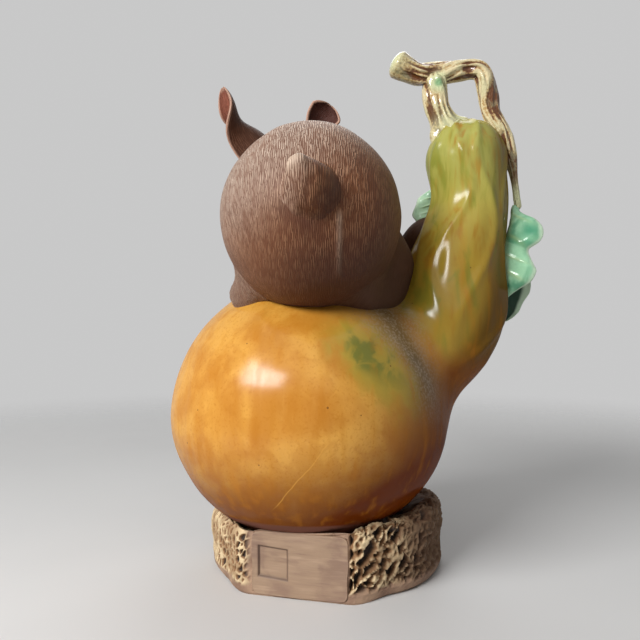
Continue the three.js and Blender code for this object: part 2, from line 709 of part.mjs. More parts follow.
const head = fullHead(0)
  .subtract(headShape(-HEAD_WALL, 12))
  .subtract(bodyTrim)
  .subtract(headVent)
  .subtract(eyeShape(-1, SLIP_GAP))
  .subtract(eyeShape(1, SLIP_GAP));
addPiece("rabbit_head", head, CLAY);
addPiece("eye_left", eyeShape(-1, 0), BEAD);
addPiece("eye_right", eyeShape(1, 0), BEAD);
addPiece("ear_left", earLeft.subtract(headTrim), CLAY);
addPiece("ear_right", earRight.subtract(headTrim), CLAY);
addPiece("tail", tailShape.subtract(bodyTrim), CLAY);

const seatTrim = bodyTrim.add(bulbTrim);
addPiece("hind_leg_left", hindLeg(leftHindLeg, 0).subtract(seatTrim), CLAY);
addPiece("hind_leg_right", hindLeg(rightHindLeg, 0).subtract(seatTrim).subtract(neckTrim), CLAY);
const armLeft = foreLegLeft.subtract(seatTrim).subtract(headTrim).subtract(hindLeg(leftHindLeg, SLIP_GAP));
addPiece("fore_leg_left", armLeft, CLAY);
const armRight = foreLegRight(0)
  .subtract(seatTrim)
  .subtract(headTrim)
  .subtract(neckTrim)
  .subtract(hindLeg(rightHindLeg, SLIP_GAP));
addPiece("fore_leg_right", armRight, CLAY);

export default group;
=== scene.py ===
"""Looks of a fired clay ornament: a combed rabbit crouching on a glazed gourd that stands in a porous rock.

Lengths are in metres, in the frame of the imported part: +Z up, +Y the way the rabbit faces.
"""

import itertools
import logging
import math
from collections.abc import Callable, Sequence
from dataclasses import dataclass
from enum import Enum
from functools import partial

import bpy
import numpy as np
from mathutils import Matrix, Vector


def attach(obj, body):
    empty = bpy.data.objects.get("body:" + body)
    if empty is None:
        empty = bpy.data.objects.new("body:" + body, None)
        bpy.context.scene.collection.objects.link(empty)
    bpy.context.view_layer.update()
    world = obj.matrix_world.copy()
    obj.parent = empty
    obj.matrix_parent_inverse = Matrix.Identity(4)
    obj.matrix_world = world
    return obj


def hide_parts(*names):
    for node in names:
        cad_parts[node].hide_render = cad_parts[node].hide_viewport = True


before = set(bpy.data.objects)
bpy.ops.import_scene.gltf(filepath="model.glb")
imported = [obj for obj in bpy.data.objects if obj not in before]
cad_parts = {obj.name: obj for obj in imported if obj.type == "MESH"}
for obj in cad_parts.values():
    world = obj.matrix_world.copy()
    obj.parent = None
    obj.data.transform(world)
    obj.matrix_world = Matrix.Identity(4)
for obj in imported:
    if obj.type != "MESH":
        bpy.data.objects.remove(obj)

Array = np.ndarray
Pair = tuple[float, float]
Triple = tuple[float, float, float]
Band = tuple[float, ...]
Grid = tuple[int, int]
Field = Callable[[Array], Array]
Socket = bpy.types.NodeSocket
Table = bpy.types.bpy_prop_collection
Material = bpy.types.Material

log = logging.getLogger("ornament")

BODY = "root"
FULL_TURN = 2.0 * math.pi
UP = (0.0, 0.0, 1.0)
STROKE_SQUEEZE = 0.14
TABLE_SIZE = 4096
LAYER_SHIFT = 7.3
FAR_AWAY = 9.0
NOT_ZERO = 1e-12
SKIN_HALVINGS = 24
SETTLE_HALVINGS = 18


class Slot(str, Enum):
    """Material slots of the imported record."""

    ROCK = "rock"
    SLAB = "slab"
    AMBER = "amber_glaze"
    OLIVE = "olive_glaze"
    BARK = "bark_glaze"
    GREEN = "green_glaze"
    CLAY = "clay"
    BEAD = "bead"


class Side(Enum):
    """Which side of the rabbit a piece is on, as the sign of its X."""

    LEFT = -1
    RIGHT = 1

    @property
    def word(self) -> str:
        """The side as the nodes spell it."""
        return self.name.lower()


# Shapes as numbers


def unit(arrows: Array) -> Array:
    """Arrows of length one."""
    return arrows / np.maximum(np.linalg.norm(arrows, axis=-1, keepdims=True), NOT_ZERO)


def turns_round(sides: int) -> Array:
    """Evenly spaced angles round a ring."""
    return np.arange(sides) * FULL_TURN / sides


def ease(low: float, high: float, values: Array) -> Array:
    """A smooth step from 0 at low to 1 at high."""
    share = np.clip((values - low) / (high - low), 0.0, 1.0)
    return share * share * (3.0 - 2.0 * share)


def grow(weight: float, low: float, high: float, values: Array) -> Array:
    """A smooth step from 0 at low to the weight at high."""
    return weight * ease(low, high, values)


def fade(least: float, low: float, high: float, values: Array) -> Array:
    """A smooth step from the least share at low to 1 at high."""
    return least + (1.0 - least) * ease(low, high, values)


def bell(values: Array, width: float | Array) -> Array:
    """A smooth bump, 1 at zero and fading over the width."""
    return np.exp(-np.square(values / width))


def melt(first: Array, second: Array, soft: float) -> Array:
    """Depths below two skins joined by a fillet of a given size, from the depths below each."""
    share = np.clip(0.5 + 0.5 * (second - first) / soft, 0.0, 1.0)
    return second * (1.0 - share) + first * share - soft * share * (1.0 - share)


def ball_depth(spots: Array, centre: Triple, radii: Triple) -> Array:
    """Depths below the skin of an ellipsoid.

    Args:
        spots: The places.
        centre: Its middle.
        radii: Its half sizes.

    Returns:
        The depths, negative inside.
    """
    local = spots - np.array(centre)
    near = np.linalg.norm(local / radii, axis=-1)
    slope = np.linalg.norm(local / np.square(radii), axis=-1)
    return near * (near - 1.0) / np.maximum(slope, NOT_ZERO)


def bridge(ends: tuple[Array, Array], slopes: tuple[Array, Array], t: Array) -> Array:
    """Places on a smooth curve, by the marks and slopes at both ends and the share t of the way."""
    level = ends[0] * (2 * t**3 - 3 * t**2 + 1) + ends[1] * (3 * t**2 - 2 * t**3)
    return level + slopes[0] * (t**3 - 2 * t**2 + t) + slopes[1] * (t**3 - t**2)


def sweep(marks: Sequence, at: Array) -> Array:
    """Values of a smooth curve through evenly spaced marks.

    Args:
        marks: Numbers or points that the curve goes through.
        at: Shares of the way along it, from 0 to 1.

    Returns:
        The values there.
    """
    table = np.array(marks, float)
    slopes = np.gradient(table, axis=0)
    place = np.clip(at, 0.0, 1.0) * (len(table) - 1)
    span = np.minimum(place.astype(int), len(table) - 2)
    t = place - span
    t = t[..., None] if table.ndim > 1 else t
    return bridge((table[span], table[span + 1]), (slopes[span], slopes[span + 1]), t)


def halve(inside: Field, low: Array, high: Array, rounds: int) -> Array:
    """Finds by halving how far each point can go before it leaves the inside.

    Args:
        inside: Says for one distance at each point whether it lies inside.
        low: Distances that lie inside.
        high: Distances that lie outside.
        rounds: Number of halvings.

    Returns:
        The farthest distances found inside.
    """
    for _ in range(rounds):
        middle = (low + high) / 2.0
        within = inside(middle)
        low = np.where(within, middle, low)
        high = np.where(within, high, middle)
    return low


class Grain:
    """Seeded lattice noise and scattered cells, for lumps, carving and pores."""

    def __init__(self, seed: int) -> None:
        """Draws the tables.

        Args:
            seed: Seed of the draw.
        """
        draw = np.random.default_rng(seed)
        self.order = draw.permutation(TABLE_SIZE)
        self.values = draw.uniform(-1.0, 1.0, TABLE_SIZE)
        self.scatter = draw.uniform(0.0, 1.0, (TABLE_SIZE, 3))

    def slot(self, cell: Array) -> Array:
        """Looks up lattice cells.

        Args:
            cell: Whole-numbered places of the cells.

        Returns:
            Their slots in the tables.
        """
        found = 0
        for axis in range(3):
            found = self.order[(found + cell[..., axis]) % TABLE_SIZE]
        return found

    def lumps(self, spots: Array) -> Array:
        """Smooth noise, one lump to a unit.

        Args:
            spots: The places.

        Returns:
            The noise there, from -1 to 1.
        """
        base = np.floor(spots).astype(np.int64)
        part = spots - base
        soft = ease(0.0, 1.0, part)
        total = np.zeros(len(spots))
        for corner in itertools.product((0, 1), repeat=3):
            weight = np.prod(np.where(corner, soft, 1.0 - soft), axis=-1)
            total += weight * self.values[self.slot(base + np.array(corner))]
        return total

    def layers(self, spots: Array, count: int) -> Array:
        """Noise of several finer and weaker layers."""
        return sum(self.lumps(spots * 2.0**i + LAYER_SHIFT * i) * 0.5**i for i in range(count))

    def walls(self, spots: Array) -> Array:
        """How far places lie from the walls between scattered cells, one cell to a unit.

        Args:
            spots: The places.

        Returns:
            Distance to the second nearest cell point less that to the nearest.
        """
        base = np.floor(spots).astype(np.int64)
        first = np.full(len(spots), FAR_AWAY)
        second = first
        for corner in itertools.product((-1, 0, 1), repeat=3):
            cell = base + np.array(corner)
            away = np.linalg.norm(cell + self.scatter[self.slot(cell)] - spots, axis=-1)
            second = np.minimum(second, np.maximum(first, away))
            first = np.minimum(first, away)
        return second - first


@dataclass(frozen=True)
class Wave:
    """Seeded unevenness of one height and size."""

    height: float
    size: float
    seed: int
    layers: int = 1

    def at(self, spots: Array) -> Array:
        """Heights at the spots."""
        return self.height * Grain(self.seed).layers(spots / self.size, self.layers)


@dataclass(frozen=True)
class Patch:
    """A soft round patch of colour."""

    at: Triple
    radius: float
    weight: float = 1.0

    def mask(self, spots: Array) -> Array:
        """How strong the patch is at each spot."""
        return self.weight * bell(np.linalg.norm(spots - np.array(self.at), axis=-1), self.radius)


def patched(patches: Sequence[Patch], spots: Array) -> Array:
    """How strong several patches are together at each spot."""
    return sum((patch.mask(spots) for patch in patches), np.zeros(len(spots)))


# Skins


@dataclass
class Skin:
    """Rings of points round a body, closed by a pole at each end."""

    rings: Array
    poles: Array
    turn: Array
    run: Array

    def spots(self) -> Array:
        """All points, ring by ring, with the two poles last."""
        return np.concatenate((self.rings.reshape(-1, 3), self.poles))

    def turns(self) -> Array:
        """The angle round the body at every point."""
        return np.append(np.tile(self.turn, len(self.rings)), (0.0, 0.0))

    def runs(self) -> Array:
        """The way along the body at every point."""
        return np.append(np.repeat(self.run, len(self.turn)), (self.run[0], self.run[-1]))

    def comb(self, gauge: float) -> Array:
        """Stroke coordinates: across the strokes at a fixed gauge, and squeezed along them."""
        across = gauge * np.abs(self.turns() - math.pi)
        return np.column_stack((across, np.zeros(len(across)), self.runs() * STROKE_SQUEEZE))


@dataclass(frozen=True)
class Station:
    """A place on a spine, with the half thickness there."""

    at: Triple
    r: float


class Spine:
    """A smooth path through stations, with a thickness that changes along it."""

    def __init__(self, stations: Sequence[Station], samples: int = 120, rounds: int = 8) -> None:
        """Samples the path.

        Args:
            stations: Places that the path goes through.
            samples: Number of points along it.
            rounds: Rounds of smoothing that take the kinks out.
        """
        marks = np.array([(*station.at, station.r) for station in stations])
        legs = np.linalg.norm(np.diff(marks[:, :3], axis=0), axis=1)
        knots = np.append(0.0, np.cumsum(legs))
        slopes = np.gradient(marks, knots, axis=0)
        at = np.linspace(0.0, knots[-1], samples)
        span = np.clip(np.searchsorted(knots, at, side="right") - 1, 0, len(legs) - 1)
        leg = legs[span][:, None]
        t = (at - knots[span])[:, None] / leg
        path = bridge((marks[span], marks[span + 1]), (leg * slopes[span], leg * slopes[span + 1]), t)
        for _ in range(rounds):
            path[1:-1] = (path[:-2] + 2.0 * path[1:-1] + path[2:]) / 4.0
        self.path = path[:, :3]
        self.sizes = path[:, 3]
        self.along = unit(np.gradient(self.path, axis=0))
        self.run = np.append(0.0, np.cumsum(np.linalg.norm(np.diff(self.path, axis=0), axis=1)))

    def depth(self, spots: Array) -> Array:
        """Depths below the skin of the round body on this spine.

        Args:
            spots: The places.

        Returns:
            The depths, negative inside.
        """
        best = np.full(len(spots), FAR_AWAY)
        for centre, size in zip(self.path, self.sizes):
            best = np.minimum(best, np.linalg.norm(spots - centre, axis=-1) - size)
        return best

    def frames(self, start: Triple) -> tuple[Array, Array]:
        """Two directions across the spine, carried along it without twist.

        Args:
            start: About where the first of them points at the start.

        Returns:
            Both directions at every point of the path.
        """
        arrow = np.array(start, float)
        arrows = []
        for along in self.along:
            arrow = unit(arrow - arrow.dot(along) * along)
            arrows.append(arrow)
        first = np.array(arrows)
        return first, np.cross(self.along, first)

    def skin(self, sides: int, start: Triple, domes: Pair = (1.0, 1.0), cap_rows: int = 12) -> Skin:
        """A round skin with domed ends.

        Args:
            sides: Points in a ring.
            start: Direction from which the turn round the body is counted.
            domes: Heights of the two end domes against their radius.
            cap_rows: Rings in each dome.

        Returns:
            The rings with their turns and runs.
        """
        first, second = self.frames(start)
        turn = turns_round(sides)
        tilt = np.linspace(0.0, math.pi / 2.0, cap_rows + 1)[1:]
        count = len(self.path)
        caps = []
        for end, dome in ((0, -domes[0]), (count - 1, domes[1])):
            rise = dome * self.sizes[end] * np.sin(tilt)
            caps.append(np.column_stack((np.full(cap_rows, end), rise, np.cos(tilt))))
        plain = np.column_stack((np.arange(count), np.zeros(count), np.ones(count)))
        table = np.concatenate((caps[0][::-1], plain, caps[1]))
        at = table[:, 0].astype(int)
        centre = self.path[at] + self.along[at] * table[:, 1:2]
        radius = (self.sizes[at] * table[:, 2])[:, None, None]
        wheel = first[at][:, None] * np.cos(turn)[:, None] + second[at][:, None] * np.sin(turn)[:, None]
        rings = centre[:, None] + radius * wheel
        run = self.run[at] + table[:, 1]
        return Skin(rings[1:-1], centre[[0, -1]], turn, run[1:-1])


def star_skin(centre: Triple, depth: Field, reach: float, grid: Grid) -> Skin:
    """The skin of a body that shows all of itself from one inner point.

    Args:
        centre: The inner point.
        depth: Depth field of the body.
        reach: A distance that lies outside it in every direction.
        grid: Rings from top to bottom, and points in a ring.

    Returns:
        The rings, with poles above and below the centre.
    """
    rows, sides = grid
    turn = turns_round(sides)
    fall = np.linspace(0.0, math.pi, rows + 2)[1:-1]
    level = np.sin(fall)[:, None]
    rise = np.repeat(np.cos(fall)[:, None], sides, axis=1)
    arrows = np.stack((level * np.cos(turn), level * np.sin(turn), rise), axis=-1).reshape(-1, 3)
    arrows = np.concatenate((arrows, (UP, np.negative(UP))))

    def inside(out: Array) -> Array:
        """Whether the places that far out lie inside the body."""
        return depth(np.array(centre) + arrows * out[:, None]) < 0.0

    out = halve(inside, np.zeros(len(arrows)), np.full(len(arrows), reach), SKIN_HALVINGS)
    spots = np.array(centre) + arrows * out[:, None]
    return Skin(spots[:-2].reshape(rows, sides, 3), spots[-2:], turn, fall)


@dataclass(frozen=True)
class Blade:
    """A thin curved blade with rounded edges, fading out at its tip."""

    half: float
    grid: Grid
    step: float = 0.002
    tip: float = 1.02
    tip_power: int = 8

    def skin(self, middle: Callable[[Array, Array], Array]) -> tuple[Skin, Array, Array]:
        """Wraps the blade round its middle surface.

        Args:
            middle: Places of that surface, by shares along (0 to 1) and across (-1 to 1).

        Returns:
            The skin, with the share across and the side of the blade (1 and -1) at every point.
        """
        rows, sides = self.grid
        turn = turns_round(sides)
        share = np.linspace(0.0, 1.0, rows)
        along, across = np.meshgrid(share, np.cos(turn), indexing="ij")
        ahead = middle(along + self.step, across) - middle(along - self.step, across)
        aside = middle(along, across + self.step) - middle(along, across - self.step)
        face = unit(np.cross(ahead, aside))
        through = np.sin(turn)
        side = np.sign(through) * np.ones((rows, 1))
        swell = side * np.sqrt(np.abs(through))
        swell *= np.sqrt(np.clip(self.tip - share**self.tip_power, 0.0, 1.0))[:, None]
        rings = middle(along, across) + face * (self.half * swell)[..., None]
        skin = Skin(rings, middle(np.array((0.0, 1.0)), np.zeros(2)), turn, share)
        return skin, np.append(across.ravel(), (0.0, 0.0)), np.append(side.ravel(), (1.0, 1.0))


# Meshes


def stand(name: str, data: bpy.types.ID) -> bpy.types.Object:
    """Puts an object into the scene.

    Args:
        name: Its name.
        data: Its mesh, lamp or camera.

    Returns:
        The object.
    """
    thing = bpy.data.objects.new(name, data)
    bpy.context.scene.collection.objects.link(thing)
    return thing


class Piece:
    """One mesh of the ornament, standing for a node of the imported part."""

    def __init__(self, name: str, skin: Skin) -> None:
        """Makes the mesh of a skin, with its faces outwards.

        Args:
            name: The piece's name.
            skin: Its points.
        """
        rows, sides = skin.rings.shape[:2]
        count = rows * sides
        index = np.arange(count).reshape(rows, sides)
        right = np.roll(index, -1, axis=1)
        quads = np.stack((index[:-1], right[:-1], right[1:], index[1:]), axis=-1).reshape(-1, 4)
        first = np.column_stack((np.full(sides, count), right[0], index[0]))
        last = np.column_stack((np.full(sides, count + 1), index[-1], right[-1]))
        spots = skin.spots()
        mesh = bpy.data.meshes.new(name)
        mesh.from_pydata(spots.tolist(), [], quads.tolist() + first.tolist() + last.tolist())
        corners = spots[np.concatenate((quads[:, :3], quads[:, (0, 2, 3)], first, last))]
        volume = np.einsum("ij,ij->i", corners[:, 0], np.cross(corners[:, 1], corners[:, 2])).sum()
        if volume < 0.0:
            mesh.flip_normals()
        mesh.shade_smooth()
        self.thing = stand(name, mesh)

    def fetch(self, table: Table, key: str) -> Array:
        """Reads a table of the mesh.

        Args:
            table: One entry for every point.
            key: Name of the three numbers of an entry.

        Returns:
            The numbers of all points.
        """
        found = np.empty(len(table) * 3, np.float32)
        table.foreach_get(key, found)
        return found.reshape(-1, 3).astype(float)

    def spots(self) -> Array:
        """Places of all points."""
        return self.fetch(self.thing.data.vertices, "co")

    def normals(self) -> Array:
        """Outward directions at all points."""
        return self.fetch(self.thing.data.vertex_normals, "vector")

    def move(self, spots: Array) -> None:
        """Puts all points in new places."""
        self.thing.data.vertices.foreach_set("co", spots.astype(np.float32).ravel())
        self.thing.data.update()

    def press(self, heights: Array) -> None:
        """Raises or sinks the points along their outward directions."""
        self.move(self.spots() + self.normals() * heights[:, None])

    def settle(self, depth: Field, level: Array, most: float) -> None:
        """Moves points along their outward directions until they lie at a level of a depth field.

        Args:
            depth: The field, negative inside.
            level: Depth wanted at each point.
            most: The longest move.
        """
        start = self.spots()
        arrows = self.normals()

        def inside(out: Array) -> Array:
            """Whether the points, moved that far out, lie deeper than the level."""
            return depth(start + arrows * out[:, None]) < level

        ends = np.full(len(start), most)
        self.move(start + arrows * halve(inside, -ends, ends, SETTLE_HALVINGS)[:, None])

    def mark(self, name: str, values: Array) -> None:
        """Keeps numbers or vectors at the points, for the finishes to read.

        Args:
            name: Name of the mark.
            values: One number or vector for each point.
        """
        kind, key = ("FLOAT", "value") if values.ndim == 1 else ("FLOAT_VECTOR", "vector")
        layer = self.thing.data.attributes.new(name, kind, "POINT")
        layer.data.foreach_set(key, values.astype(np.float32).ravel())

    def seat(self, node: str, slot: Slot, finish: Material) -> None:
        """Dresses the piece and puts it in the place of its node.

        Args:
            node: The node that it stands for.
            slot: The node's material slot; not used.
            finish: The piece's material.
        """
        self.thing.data.materials.append(finish)
        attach(self.thing, BODY)
        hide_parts(node)
        log.info("%s: %d faces for %s", self.thing.name, len(self.thing.data.polygons), node)


# Node trees


class Bench:
    """Sets and links the nodes of one tree."""

    def __init__(self, tree: bpy.types.NodeTree) -> None:
        """Works on the given tree."""
        self.tree = tree

    def feed(self, socket: Socket, value: object) -> None:
        """Links a socket to another, or sets its value.

        Args:
            socket: The socket to feed.
            value: Another socket, a number, a vector or a colour.
        """
        if isinstance(value, Socket):
            self.tree.links.new(value, socket)
        elif isinstance(value, tuple) and len(value) == 3 and len(socket.default_value) == 4:
            socket.default_value = (*value, 1.0)
        else:
            socket.default_value = value

    def put(self, kind: str, sockets: dict | None = None, **settings: object) -> bpy.types.Node:
        """Adds a node.

        Args:
            kind: The node's type.
            sockets: Values or sockets for its inputs, by name or number.
            settings: Its own settings.

        Returns:
            The node.
        """
        node = self.tree.nodes.new(kind)
        for key, value in settings.items():
            setattr(node, key, value)
        for key, value in (sockets or {}).items():
            self.feed(node.inputs[key], value)
        return node

    def read(self, name: str, part: str = "Fac") -> Socket:
        """A number or vector kept at the points of the mesh."""
        return self.put("ShaderNodeAttribute", attribute_name=name).outputs[part]

    def place(self) -> Socket:
        """The place on the ornament."""
        return self.put("ShaderNodeTexCoord").outputs["Object"]

    def split(self, vector: Socket) -> Sequence[Socket]:
        """The three numbers of a vector."""
        return self.put("ShaderNodeSeparateXYZ", {0: vector}).outputs

    def arrow(self, work: str, first: object, second: object) -> Socket:
        """One step of arithmetic with vectors, number by number."""
        return self.put("ShaderNodeVectorMath", {0: first, 1: second}, operation=work).outputs[0]

    def sums(self, work: str, first: object, second: object = 0.0) -> Socket:
        """One step of arithmetic."""
        return self.put("ShaderNodeMath", {0: first, 1: second}, operation=work).outputs[0]

    def times(self, first: object, second: object) -> Socket:
        """A product."""
        return self.sums("MULTIPLY", first, second)

    def ramp(self, value: object, low: float, high: float, start: float = 0.0, end: float = 1.0) -> Socket:
        """A smooth step from start at low to end at high."""
        sockets = {"Value": value, "From Min": low, "From Max": high, "To Min": start, "To Max": end}
        return self.put("ShaderNodeMapRange", sockets, interpolation_type="SMOOTHSTEP").outputs["Result"]

    def mix(self, low: object, high: object, share: object) -> Socket:
        """A colour between two others."""
        return self.put("ShaderNodeMix", {0: share, 6: low, 7: high}, data_type="RGBA").outputs[2]

    def layers(self, base: object, *coats: tuple[object, object]) -> Socket:
        """A colour with others laid over it.

        Args:
            base: The lowest colour.
            coats: The colours over it in order, each with its mask.

        Returns:
            The colour that shows.
        """
        for colour, mask in coats:
            base = self.mix(base, colour, mask)
        return base

    def noise(self, where: object, scale: object, detail: float = 2.0, warp: object = 0.0) -> Socket:
        """Noise from 0 to 1."""
        sockets = {"Vector": where, "Scale": scale, "Detail": detail, "Distortion": warp}
        return self.put("ShaderNodeTexNoise", sockets).outputs["Fac"]

    def cells(self, where: object, scale: object, part: str = "Distance") -> Socket:
        """Distance or random colour of scattered cells."""
        return self.put("ShaderNodeTexVoronoi", {"Vector": where, "Scale": scale}).outputs[part]

    def bump(self, height: object, depth: float, strength: float = 1.0) -> Socket:
        """A normal that shows heights as relief."""
        sockets = {"Strength": strength, "Distance": depth, "Height": height}
        return self.put("ShaderNodeBump", sockets).outputs["Normal"]

    def effect(self, tree: bpy.types.NodeTree, **sockets: object) -> Sequence[Socket]:
        """Places a shared effect with its own values."""
        return self.put("ShaderNodeGroup", sockets, node_tree=tree).outputs


@dataclass
class Effects:
    """Shared shader effects, each made once."""

    patch_edge: Pair = (0.32, 0.68)
    patch_detail: float = 3.0
    grain_finer: float = 9.0
    grain_detail: float = 4.0
    hatch_stretch: Triple = (1.0, 3.0, 3.0)
    hatch_coarse: float = 0.52
    hatch_detail: float = 1.0
    hatch_fade: Band = (0.75, 0.3, 0.35, 1.0)
    groove_edge: Pair = (0.4, 0.05)
    speck_chance: Pair = (0.45, 1.0)
    streak_detail: float = 3.0

    def __post_init__(self) -> None:
        """Makes the node groups."""
        self.mottle = self.build_mottle()
        self.strokes = self.build_strokes()
        self.specks = self.build_specks()
        self.streaks = self.build_streaks()

    @staticmethod
    def begin(name: str, vector: str, numbers: Sequence[str], outputs: Sequence[str]) -> tuple:
        """Starts a node group.

        Args:
            name: The group's name.
            vector: Name of its vector input.
            numbers: Names of its number inputs.
            outputs: Names of its number outputs.

        Returns:
            A bench for the group, the sockets that bring its inputs and those that take its outputs.
        """
        tree = bpy.data.node_groups.new(name, "ShaderNodeTree")
        tree.interface.new_socket(vector, in_out="INPUT", socket_type="NodeSocketVector")
        for key in numbers:
            tree.interface.new_socket(key, in_out="INPUT", socket_type="NodeSocketFloat")
        for key in outputs:
            tree.interface.new_socket(key, in_out="OUTPUT", socket_type="NodeSocketFloat")
        bench = Bench(tree)
        return bench, bench.put("NodeGroupInput").outputs, bench.put("NodeGroupOutput").inputs

    def build_mottle(self) -> bpy.types.NodeTree:
        """Large soft patches and fine grains at the same places.

        Returns:
            The node group.
        """
        bench, given, shown = self.begin("mottle", "Spot", ("Scale", "Warp"), ("Patches", "Grains"))
        patches = bench.noise(given["Spot"], given["Scale"], self.patch_detail, given["Warp"])
        fine = bench.noise(given["Spot"], bench.times(given["Scale"], self.grain_finer), self.grain_detail)
        bench.feed(shown["Patches"], bench.ramp(patches, *self.patch_edge))
        bench.feed(shown["Grains"], fine)
        return bench.tree

    def build_strokes(self) -> bpy.types.NodeTree:
        """Short hatches of a comb, each set off from its neighbours, and the grooves between the lines.

        Returns:
            The node group.
        """
        bench, given, shown = self.begin("strokes", "Comb", ("Pitch",), ("Height", "Groove"))
        where = bench.arrow("MULTIPLY", given["Comb"], self.hatch_stretch)
        coarse = bench.times(given["Pitch"], self.hatch_coarse)
        shift = bench.split(bench.cells(where, coarse, "Color"))[0]
        across = bench.times(bench.split(given["Comb"])[0], given["Pitch"])
        wander = bench.noise(given["Comb"], coarse, self.hatch_detail)
        line = bench.sums("ADD", across, bench.sums("ADD", shift, wander))
        wave = bench.ramp(bench.sums("SINE", bench.times(line, FULL_TURN)), -1.0, 1.0)
        height = bench.times(wave, bench.ramp(bench.cells(where, coarse), *self.hatch_fade))
        bench.feed(shown["Height"], height)
        bench.feed(shown["Groove"], bench.ramp(height, *self.groove_edge))
        return bench.tree

    def build_specks(self) -> bpy.types.NodeTree:
        """Scattered small spots, some cells left empty.

        Returns:
            The node group.
        """
        bench, given, shown = self.begin("specks", "Spot", ("Scale", "Size"), ("Mask",))
        near = bench.cells(given["Spot"], given["Scale"])
        chance = bench.split(bench.cells(given["Spot"], given["Scale"], "Color"))[0]
        size = bench.times(given["Size"], bench.ramp(chance, *self.speck_chance))
        bench.feed(shown["Mask"], bench.sums("LESS_THAN", near, size))
        return bench.tree

    def build_streaks(self) -> bpy.types.NodeTree:
        """Noise drawn out up and down or sideways, by the number of lumps to a metre each way.

        Returns:
            The node group.
        """
        bench, given, shown = self.begin("streaks", "Spot", ("Sideways", "Upwards", "Warp"), ("Lines",))
        counts = {0: given["Sideways"], 1: given["Sideways"], 2: given["Upwards"]}
        pull = bench.put("ShaderNodeCombineXYZ", counts).outputs[0]
        where = bench.arrow("MULTIPLY", given["Spot"], pull)
        bench.feed(shown["Lines"], bench.noise(where, 1.0, self.streak_detail, given["Warp"]))
        return bench.tree


class Easel(Bench):
    """The bench of one material, with the shared effects at hand."""

    def __init__(self, material: Material, effects: Effects) -> None:
        """Works on the given material.

        Args:
            material: The material.
            effects: The shared effects.
        """
        super().__init__(material.node_tree)
        self.into = material.node_tree.nodes["Principled BSDF"].inputs
        self.effects = effects

    def give(self, name: str, value: object) -> None:
        """Links or sets an input of the shader."""
        self.feed(self.into[name], value)

    def clouds(self, scale: float, warp: float) -> Sequence[Socket]:
        """Patches and grains."""
        return self.effect(self.effects.mottle, Spot=self.place(), Scale=scale, Warp=warp)

    def hatches(self, pitch: float) -> Sequence[Socket]:
        """Height and grooves of the comb's strokes."""
        return self.effect(self.effects.strokes, Comb=self.read("comb", "Vector"), Pitch=pitch)

    def dots(self, scale: float, size: float) -> Socket:
        """The mask of scattered specks."""
        return self.effect(self.effects.specks, Spot=self.place(), Scale=scale, Size=size)["Mask"]

    def lines(self, sideways: float, upwards: float, warp: float) -> Socket:
        """Noise drawn out into streaks."""
        way = {"Sideways": sideways, "Upwards": upwards, "Warp": warp}
        return self.effect(self.effects.streaks, Spot=self.place(), **way)["Lines"]


# Finishes


@dataclass(frozen=True)
class Finish:
    """What all materials share: a body, and a glaze over it where there is one."""

    roughness: float = 0.6
    coat: float = 0.0
    shine: float = 0.5
    haze: float = 0.06

    def build(self, name: str, effects: Effects) -> Material:
        """Makes the material.

        Args:
            name: Its name.
            effects: The shared effects.

        Returns:
            The material.
        """
        material = bpy.data.materials.new(name)
        material.use_nodes = True
        bench = Easel(material, effects)
        bench.give("Roughness", self.roughness)
        bench.give("Specular IOR Level", self.shine)
        bench.give("Coat Weight", self.coat)
        bench.give("Coat Roughness", self.haze)
        self.paint(bench)
        return material

    def paint(self, bench: Easel) -> None:
        """Sets what changes over the surface, which each finish does in its own way."""
        raise NotImplementedError


@dataclass(frozen=True)
class FurFinish(Finish):
    """Unglazed brown clay, combed all over."""

    roughness: float = 0.55
    shine: float = 0.25
    bloom: float = 0.06
    depth: float = 0.00022
    pitch: float = 850.0
    pale: Triple = (0.61, 0.45, 0.33)
    # Colour of the painted light.
    painted_light_tone: Triple = (0.57, 0.455, 0.37)
    ridge: Triple = (0.36, 0.175, 0.087)
    body: Triple = (0.205, 0.076, 0.03)
    shade: Triple = (0.15, 0.052, 0.02)
    groove: Triple = (0.06, 0.017, 0.007)
    cloud: Pair = (26.0, 0.6)

    def paint(self, bench: Easel) -> None:
        """Combs the clay.

        Args:
            bench: The material's bench.
        """
        colour, height = self.clay(bench)
        bench.give("Base Color", colour)
        bench.give("Normal", bench.bump(height, self.depth))
        bench.give("Sheen Weight", self.bloom)
        bench.give("Sheen Tint", self.pale)

    def clay(self, bench: Easel) -> tuple[Socket, Socket]:
        """The combed clay, by the strokes and marks kept on the mesh: pale marks and painted highlights,
        painted light, and darker marks that are painted shade on the rump and tail.

        Args:
            bench: The material's bench.

        Returns:
            Its colour and its relief.
        """
        stroke = bench.hatches(self.pitch)
        raised = bench.ramp(stroke["Height"], 0.0, 0.8, 0.25, 1.0)
        colour = bench.layers(
            self.shade,
            (self.body, bench.clouds(*self.cloud)["Patches"]),
            (self.ridge, bench.ramp(stroke["Height"], 0.3, 1.0, 0.0, 0.85)),
            # Pale marks, with painted highlights along the rump's ridge line and on the tail's tip.
            (self.pale, bench.read("tuft")),
            # Painted light: a pale grey sheen on the raised strokes of the lit side.
            (self.painted_light_tone, bench.times(bench.read("bleach"), raised)),
            (self.groove, bench.times(stroke["Groove"], 0.5)),
            # Painted shade and painted shadows on the rump and tail; darker cut lines on the head.
            (self.groove, bench.read("stain")),
        )
        return colour, stroke["Height"]


@dataclass(frozen=True)
class ShadedPawFinish(FurFinish):
    """Clay smoothed with a wet finger, with faint strokes, in darker colours that are painted shade on the
    right legs.
    """

    bloom: float = 0.05
    depth: float = 0.0001
    # Darker colours: painted shade.
    ridge: Triple = (0.11, 0.048, 0.024)
    body: Triple = (0.09, 0.038, 0.019)
    shade: Triple = (0.065, 0.027, 0.013)


